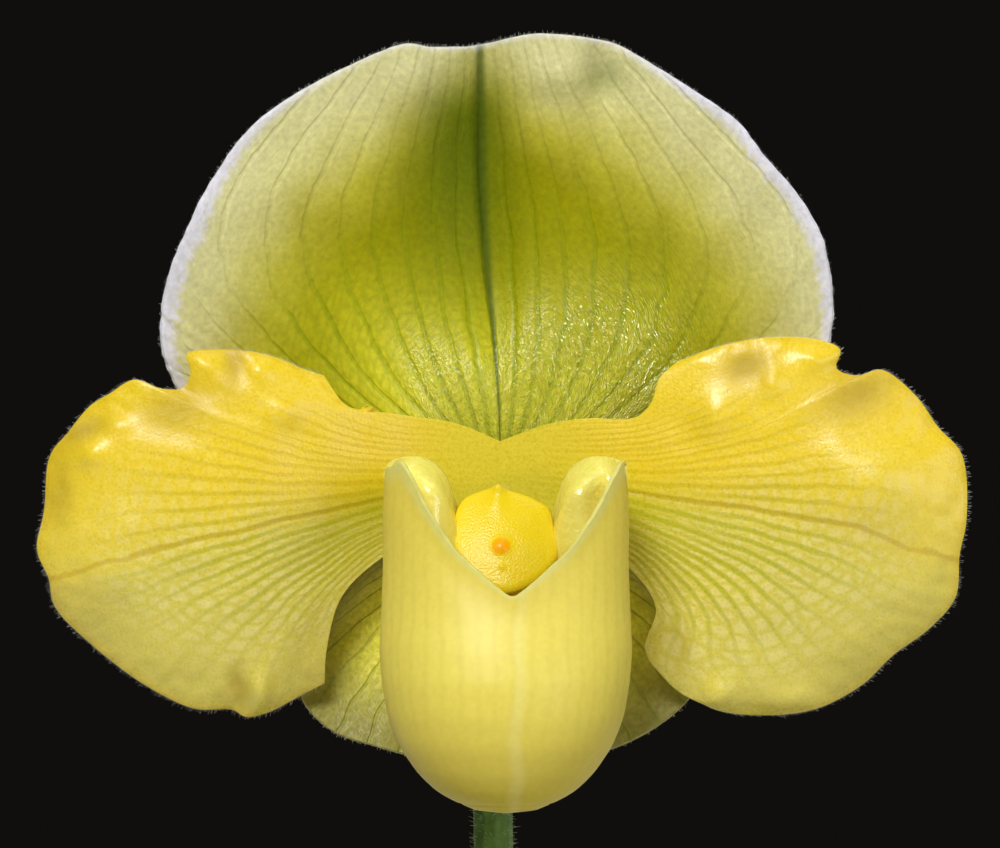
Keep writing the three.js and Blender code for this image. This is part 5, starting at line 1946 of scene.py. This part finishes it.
@dataclass(frozen=True)
class LeafFan:
    """A growth: leaves in two ranks, each folded round the next one in, listed from inside out."""

    name: str
    at: tuple[float, float]
    turn: float
    core: float
    first_side: int
    leaves: tuple[StrapLeaf, ...]

    LEAF_THICKNESS = 0.95
    BASE_HEIGHT = 89.0
    NEST_STEP = 1.7
    KEEL_STEP = 2.3
    KEEL_FIRST = 6.0
    SHEATH_OUTERMOST = 17.0
    SHEATH_STEP = 9.0
    OPENING = 56.0
    BASE_BEND = 22.0
    OPEN_ANGLE = 74.0
    CURL = 2.4
    WAVE = 1.4
    TIP_FROM = 0.66
    TIP_LENGTH = 0.343
    FLANK_TURN = 0.3
    SAMPLES = 120

    def side_of(self, level: int) -> int:
        """The side of the fan that a leaf stands on."""
        return self.first_side if level % 2 == 0 else -self.first_side

    @staticmethod
    def crowded(share: float) -> float:
        """The share of a leaf's length for a share of its rows, which crowd towards the tip."""
        return 1 - (1 - share) ** 1.25

    def into_pot(self, point: Vector) -> Vector:
        """Bring a point of the fan's own frame into the pot's."""
        turned = Matrix.Rotation(math.radians(self.turn), 3, "Z") @ point
        return turned + Vector((*self.at, 0))

    def opened(self, level: int, s: float) -> float:
        """How far a leaf has opened: 0 in its sheath, 1 in its blade."""
        sheath = self.SHEATH_OUTERMOST + self.SHEATH_STEP * (len(self.leaves) - 1 - level)
        return smoothstep(sheath, sheath + self.OPENING, s * self.leaves[level].length)

    def leaf_place(self, level: int) -> Place:
        """The surface of a leaf: folded at its base, then a keeled blade that arches outwards."""
        leaf, side = self.leaves[level], self.side_of(level)
        half_gap = self.core + level * self.NEST_STEP
        keel_at = self.core + self.KEEL_FIRST + level * self.KEEL_STEP
        lean_span = leaf.lean_at_tip - leaf.lean_at_base

        def lean_at(s: float) -> float:
            early = leaf.lean_at_base * smoothstep(0, self.BASE_BEND / leaf.length, s)
            return math.radians(early + lean_span * s**1.35)

        keel = [Vector((side * keel_at, 0, self.BASE_HEIGHT))]
        for i in range(self.SAMPLES):
            lean = lean_at((i + 0.5) / self.SAMPLES)
            stride = Vector((side * math.sin(lean), 0, math.cos(lean)))
            keel.append(keel[-1] + stride * leaf.length / self.SAMPLES)

        def place(share: float, t: float) -> Vector:
            s = self.crowded(share)
            i = min(self.SAMPLES - 1, int(s * self.SAMPLES))
            spot = keel[i].lerp(keel[i + 1], s * self.SAMPLES - i)
            lean = lean_at(s)
            onward = Vector((side * math.sin(lean), 0, math.cos(lean)))
            inward = Vector((-side * math.cos(lean), 0, math.sin(lean)))
            v = 2 * t - 1
            if abs(v) < 0.5:
                across = abs(v) * 2 * self.FLANK_TURN
            else:
                across = mix(self.FLANK_TURN, 1, 2 * abs(v) - 1)
            opened = self.opened(level, s)
            fold = math.radians(self.OPEN_ANGLE * opened)
            past = max(0.0, s - self.TIP_FROM) / self.TIP_LENGTH
            tip = math.sqrt(max(0.0, 1 - past**2.1))
            width = mix(keel_at + 6, leaf.half_width, smoothstep(0, 0.55, s)) * tip
            reach = across * width
            flank = math.sin(min(1.0, across / self.FLANK_TURN) * math.pi / 2)
            sheath = half_gap * flank * (1 - opened)
            free = opened * across * across * tip
            wave = self.WAVE * grain(Vector((s * leaf.length, v, level)), 24.0, float(level))
            sidewards = math.copysign(1, v) * (sheath + reach * math.sin(fold))
            sidewards += leaf.sweep * s * s
            spot += inward * (reach * math.cos(fold) + free * (wave - self.CURL))
            spot -= onward * 1.6 * smoothstep(0.93, 1, s) * (1 - across)
            return self.into_pot(spot + Vector((0, sidewards, 0)))

        return place

    def build(self, cuticle: bpy.types.Material) -> None:
        """Build the fan's leaves."""
        for level, leaf in enumerate(self.leaves):
            name = f"leaf_{self.name}{level + 1}"

            def chart(share: float, t: float, leaf: StrapLeaf = leaf) -> tuple[float, float]:
                return self.crowded(share) * leaf.length, (2 * t - 1) * leaf.half_width

            turn = Matrix.Rotation(math.radians(self.turn), 3, "Z")
            inwards = turn @ Vector((-self.side_of(level), 0, 0.6))
            place = self.leaf_place(level)
            mesh = surface(name, (84, 24), place, {"leaf": chart}, faces_to=inwards)
            piece = add_piece(name, mesh, cuticle, Slot.LEAF, [name])
            give_body(piece, self.LEAF_THICKNESS, 0.3)

    def stub_half_length(self) -> float:
        """Half the length of the stub under the fan."""
        return self.core + self.KEEL_FIRST + (len(self.leaves) - 1) * self.KEEL_STEP + 2.4

    def stub_half_width(self) -> float:
        """Half the width of the stub under the fan."""
        return self.core + (len(self.leaves) - 1) * self.NEST_STEP + 2.2

    def oval_share(self, x: float, y: float) -> float:
        """How far out of the fan's foot a place lies: under 1 inside."""
        away = Vector((x - self.at[0], y - self.at[1], 0))
        away = Matrix.Rotation(-math.radians(self.turn), 3, "Z") @ away
        return math.hypot(away.x / self.stub_half_length(), away.y / self.stub_half_width())


FANS = (
    LeafFan(
        "a", (0, 1), 7, 3.5, 1,
        (
            StrapLeaf(112, 14, 3, 40, 1),
            StrapLeaf(150, 17, 5, 64, -2),
            StrapLeaf(176, 18, 8, 86, -5),
            StrapLeaf(186, 18.5, 11, 100, 5),
            StrapLeaf(178, 18.5, 16, 112, 6),
            StrapLeaf(152, 17.5, 20, 124, -6),
        ),
    ),
    LeafFan(
        "b", (-3, 35), 4, 2.2, -1,
        (
            StrapLeaf(92, 13, 3, 30, 3),
            StrapLeaf(132, 15.5, 7, 58, 8),
            StrapLeaf(158, 17, 12, 84, 10),
            StrapLeaf(146, 16.5, 17, 106, 10),
        ),
    ),
    LeafFan(
        "c", (12, -36), -12, 2.0, -1,
        (
            StrapLeaf(54, 9, 3, 18, 0),
            StrapLeaf(88, 12, 9, 50, -8),
            StrapLeaf(102, 13.5, 14, 78, -8),
        ),
    ),
)


# The pot and its bark


@dataclass(frozen=True)
class ClayPot:
    """A tapered clay pot with a thick collar, a flat foot and drain holes."""

    height: float = 115.0
    foot_radius: float = 42.0
    shoulder_radius: float = 57.0
    rim_radius: float = 63.5
    collar_height: float = 24.0
    collar_step: float = 4.2
    rounding: float = 1.5
    wall: float = 5.5
    floor: float = 7.0
    drain_count: int = 3
    drain_radius: float = 5.0
    drain_circle: float = 25.0

    # The angle in radians from which an edge is rounded
    SHARP = 0.35

    def inner_radius(self, z: float) -> float:
        """The radius of the inside at a height."""
        taper = (self.shoulder_radius - self.foot_radius) / (self.height - self.collar_height)
        return self.foot_radius - self.wall + taper * z

    def outline(self) -> list[tuple[float, float]]:
        """Half the pot's section, from the middle of its foot round to the middle of its floor."""
        collar_foot = self.height - self.collar_height
        shoulder = self.shoulder_radius + self.collar_step
        inner = self.inner_radius
        return [
            (0, 0),
            (self.foot_radius, 0),
            (self.shoulder_radius, collar_foot),
            (shoulder, collar_foot + self.rounding),
            (self.rim_radius, self.height),
            (inner(self.height), self.height),
            (inner(self.floor), self.floor),
            (0, self.floor),
        ]

    def build(self) -> None:
        """Turn the pot, round its edges and drill its drain holes."""
        bm = lathe(self.outline(), 120)
        sharp = [e for e in bm.edges if e.is_manifold and e.calc_face_angle() > self.SHARP]
        bmesh.ops.bevel(
            bm, geom=sharp, offset=self.rounding * MM, segments=4, profile=0.5, affect="EDGES",
            material=-1,
        )
        pot = add_piece("pot", to_mesh(bm, "pot"), FiredClay().make(), Slot.CLAY, ["pot"])
        self.drill(pot)

    def drill(self, pot: bpy.types.Object) -> None:
        """Cut the drain holes through the pot's floor."""
        bm = bmesh.new()
        for number in range(self.drain_count):
            angle = (number + 0.25) / self.drain_count * math.tau
            spot = Vector((math.cos(angle), math.sin(angle), 0)) * self.drain_circle * MM
            bmesh.ops.create_cone(
                bm, cap_ends=True, segments=32, radius1=self.drain_radius * MM,
                radius2=self.drain_radius * MM, depth=6 * self.floor * MM,
                matrix=Matrix.Translation(spot),
            )
        drills = put("drills", to_mesh(bm, "drills"))
        cut = pot.modifiers.new("drains", "BOOLEAN")
        cut.object = drills
        cut.solver = "EXACT"
        apply_modifiers(pot)
        bpy.data.objects.remove(drills)


def apply_modifiers(piece: bpy.types.Object) -> None:
    """Replace a piece's mesh by what its modifiers make of it, and drop them."""
    bpy.context.view_layer.update()
    graph = bpy.context.evaluated_depsgraph_get()
    before = piece.data
    piece.data = bpy.data.meshes.new_from_object(piece.evaluated_get(graph))
    piece.modifiers.clear()
    bpy.data.meshes.remove(before)


@dataclass(frozen=True)
class BarkBed:
    """Orchid bark with a little perlite, filling the pot and heaped round the fans."""

    pot: ClayPot
    top: float = 98.0
    chips: int = 420
    pellets: int = 70
    seed: int = 11

    # The gap between bed and pot, in millimetres
    CLEARANCE = 0.6

    def chip_shapes(self, draw: random.Random) -> list[bpy.types.Mesh]:
        """A few chips of bark of about unit size: split blocks with broken, rounded edges."""
        shapes = []
        for number in range(9):
            bm = bmesh.new()
            bmesh.ops.create_cube(bm, size=MM)
            bmesh.ops.subdivide_edges(bm, edges=bm.edges, cuts=2, use_grid_fill=True)
            size = Vector((1.0, mix(0.5, 0.8, draw.random()), mix(0.28, 0.45, draw.random())))
            bmesh.ops.scale(bm, verts=bm.verts, vec=size)
            for vert in bm.verts:
                spot = vert.co / MM
                ragged = Vector(grain(spot, 0.45, number + axis) for axis in (0.1, 0.4, 0.7))
                vert.co += ragged * 0.16 * MM
            bmesh.ops.smooth_vert(
                bm, verts=bm.verts, factor=0.25, use_axis_x=True, use_axis_y=True, use_axis_z=True
            )
            shapes.append(to_mesh(bm, "chip"))
        return shapes

    def pellet_shapes(self) -> list[bpy.types.Mesh]:
        """A few perlite grains of about unit size."""
        shapes = []
        for number in range(3):
            bm = bmesh.new()
            bmesh.ops.create_icosphere(bm, subdivisions=2, radius=0.5 * MM)
            for vert in bm.verts:
                vert.co *= 1 + 0.25 * grain(vert.co / MM, 0.4, number + 0.5)
            shapes.append(to_mesh(bm, "pellet"))
        return shapes

    def spots(self, draw: random.Random, count: int, sizes: tuple[float, float]) -> list[Matrix]:
        """Where pieces lie on the bed: spread evenly, clear of the fans and inside the rim."""
        golden = math.pi * (3 - math.sqrt(5))
        places = []
        for number in range(count):
            size = mix(*sizes, draw.random())
            limit = self.pot.inner_radius(self.top) - 0.45 * size
            radius = limit * math.sqrt((number + 0.5) / count)
            angle = number * golden + draw.random() * 0.4
            x, y = radius * math.cos(angle), radius * math.sin(angle)
            margin = 0.82 + 0.03 * size * draw.random()
            if min(fan.oval_share(x, y) for fan in FANS) < margin:
                continue
            z = self.top + mix(-1.5, 4.6, draw.random())
            lean = Vector((draw.gauss(0, 0.5), draw.gauss(0, 0.5), 1)).normalized()
            spin = Matrix.Rotation(draw.random() * math.tau, 4, "Z")
            stretch = Vector((size, size, size))
            places.append(frame_at(Vector((x, y, z)), lean, stretch) @ spin)
        return places

    def build(self) -> None:
        """Build the bed, its chips and its perlite."""
        bark = FirBark().make()
        draw = random.Random(self.seed)
        shapes, spots = self.chip_shapes(draw), self.spots(draw, self.chips, (9, 20))
        chips = scatter("bark_chips", shapes, spots, smooth=False)
        add_piece("bark_chips", chips, bark, Slot.BARK)
        spots = self.spots(draw, self.pellets, (2.5, 5.0))
        pellets = scatter("perlite", self.pellet_shapes(), spots)
        add_piece("perlite", pellets, Perlite().make(), Slot.BARK)
        foot = self.pot.floor + 0.3
        outline = [
            (0, foot),
            (self.pot.inner_radius(foot) - self.CLEARANCE, foot),
            (self.pot.inner_radius(self.top) - self.CLEARANCE, self.top - 2),
            (0, self.top - 1),
        ]
        mesh = to_mesh(lathe(outline, 60), "bark_bed", smooth=False)
        add_piece("bark_bed", mesh, bark, Slot.BARK, ["bark_mix"])


def dress_rhizome() -> None:
    """Give the rhizome and its roots their brown corky skin."""
    cork = SoftFlesh("rhizome cork", "#6b4e30", "#8a6a44", 3.0, 0.85).make()
    for material_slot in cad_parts["rhizome"].material_slots:
        material_slot.material = cork


# The studio


@dataclass(frozen=True)
class SoftBox:
    """A soft studio light: where it stands in metres, its width and height, and its power."""

    name: str
    at: tuple[float, float, float]
    aims_at: tuple[float, float, float]
    size: tuple[float, float]
    watts: float

    def build(self) -> None:
        """Put the light in the scene. It isn't seen itself."""
        lamp = bpy.data.lights.new(self.name, "AREA")
        lamp.shape = "RECTANGLE"
        lamp.size, lamp.size_y = self.size
        lamp.energy = self.watts
        light = put(self.name, lamp)
        light.location = self.at
        heading = Vector(self.aims_at) - Vector(self.at)
        light.rotation_euler = heading.to_track_quat("-Z", "Y").to_euler()
        light.visible_camera = False


@dataclass(frozen=True)
class Studio:
    """The floor, the lights, the dark surroundings and the camera."""

    floor_radius: float = 2.4
    camera_at: tuple[float, float, float] = (0.0, -0.720, 0.3552)
    focal_length: float = 202.9
    surroundings: str = "#100f0d"

    LIGHTS = (
        SoftBox("key", (-0.3, -0.92, 1.12), (0, -0.03, 0.345), (0.4, 0.36), 12.5),
        SoftBox("fill", (0.95, -1.15, 0.6), (0, -0.03, 0.33), (0.8, 0.8), 6.0),
        SoftBox("top", (0.1, 0.15, 1.35), (0, -0.03, 0.33), (0.6, 0.6), 3.0),
        SoftBox("back left", (-1.1, 1.2, 0.9), (0, 0, 0.25), (0.8, 0.8), 7.0),
        SoftBox("back right", (1.2, 1.1, 0.8), (0, 0, 0.25), (0.8, 0.8), 7.0),
    )

    def build(self) -> None:
        """Build the studio."""
        bm = bmesh.new()
        bmesh.ops.create_circle(bm, cap_ends=True, segments=128, radius=self.floor_radius)
        floor = put("floor", to_mesh(bm, "floor", smooth=False))
        floor.data.materials.append(StudioPaper().make())
        for light in self.LIGHTS:
            light.build()
        world = bpy.data.worlds.new("studio")
        world.use_nodes = True
        backdrop = world.node_tree.nodes["Background"]
        backdrop.inputs["Color"].default_value = linear(self.surroundings)
        bpy.context.scene.world = world
        bpy.context.scene.view_settings.view_transform = "Standard"
        lens = bpy.data.cameras.new("camera")
        lens.lens = self.focal_length
        camera = put("camera", lens)
        camera.location = self.camera_at
        camera.rotation_euler = (math.pi / 2, 0, 0)
        bpy.context.scene.camera = camera


def main() -> None:
    """Build the flower, the plant, the pot and the studio."""
    logging.basicConfig(level=logging.INFO, format="%(message)s")
    for blade in (RIGHT_PETAL, LEFT_PETAL, DORSAL_SEPAL, SYNSEPAL):
        blade.build()
    Pouch().build()
    Column().build()
    FlowerStem().build()
    cuticle = LeafCuticle().make()
    for fan in FANS:
        fan.build(cuticle)
    pot = ClayPot()
    pot.build()
    BarkBed(pot).build()
    dress_rhizome()
    Studio().build()


if __name__ == "__main__":
    main()
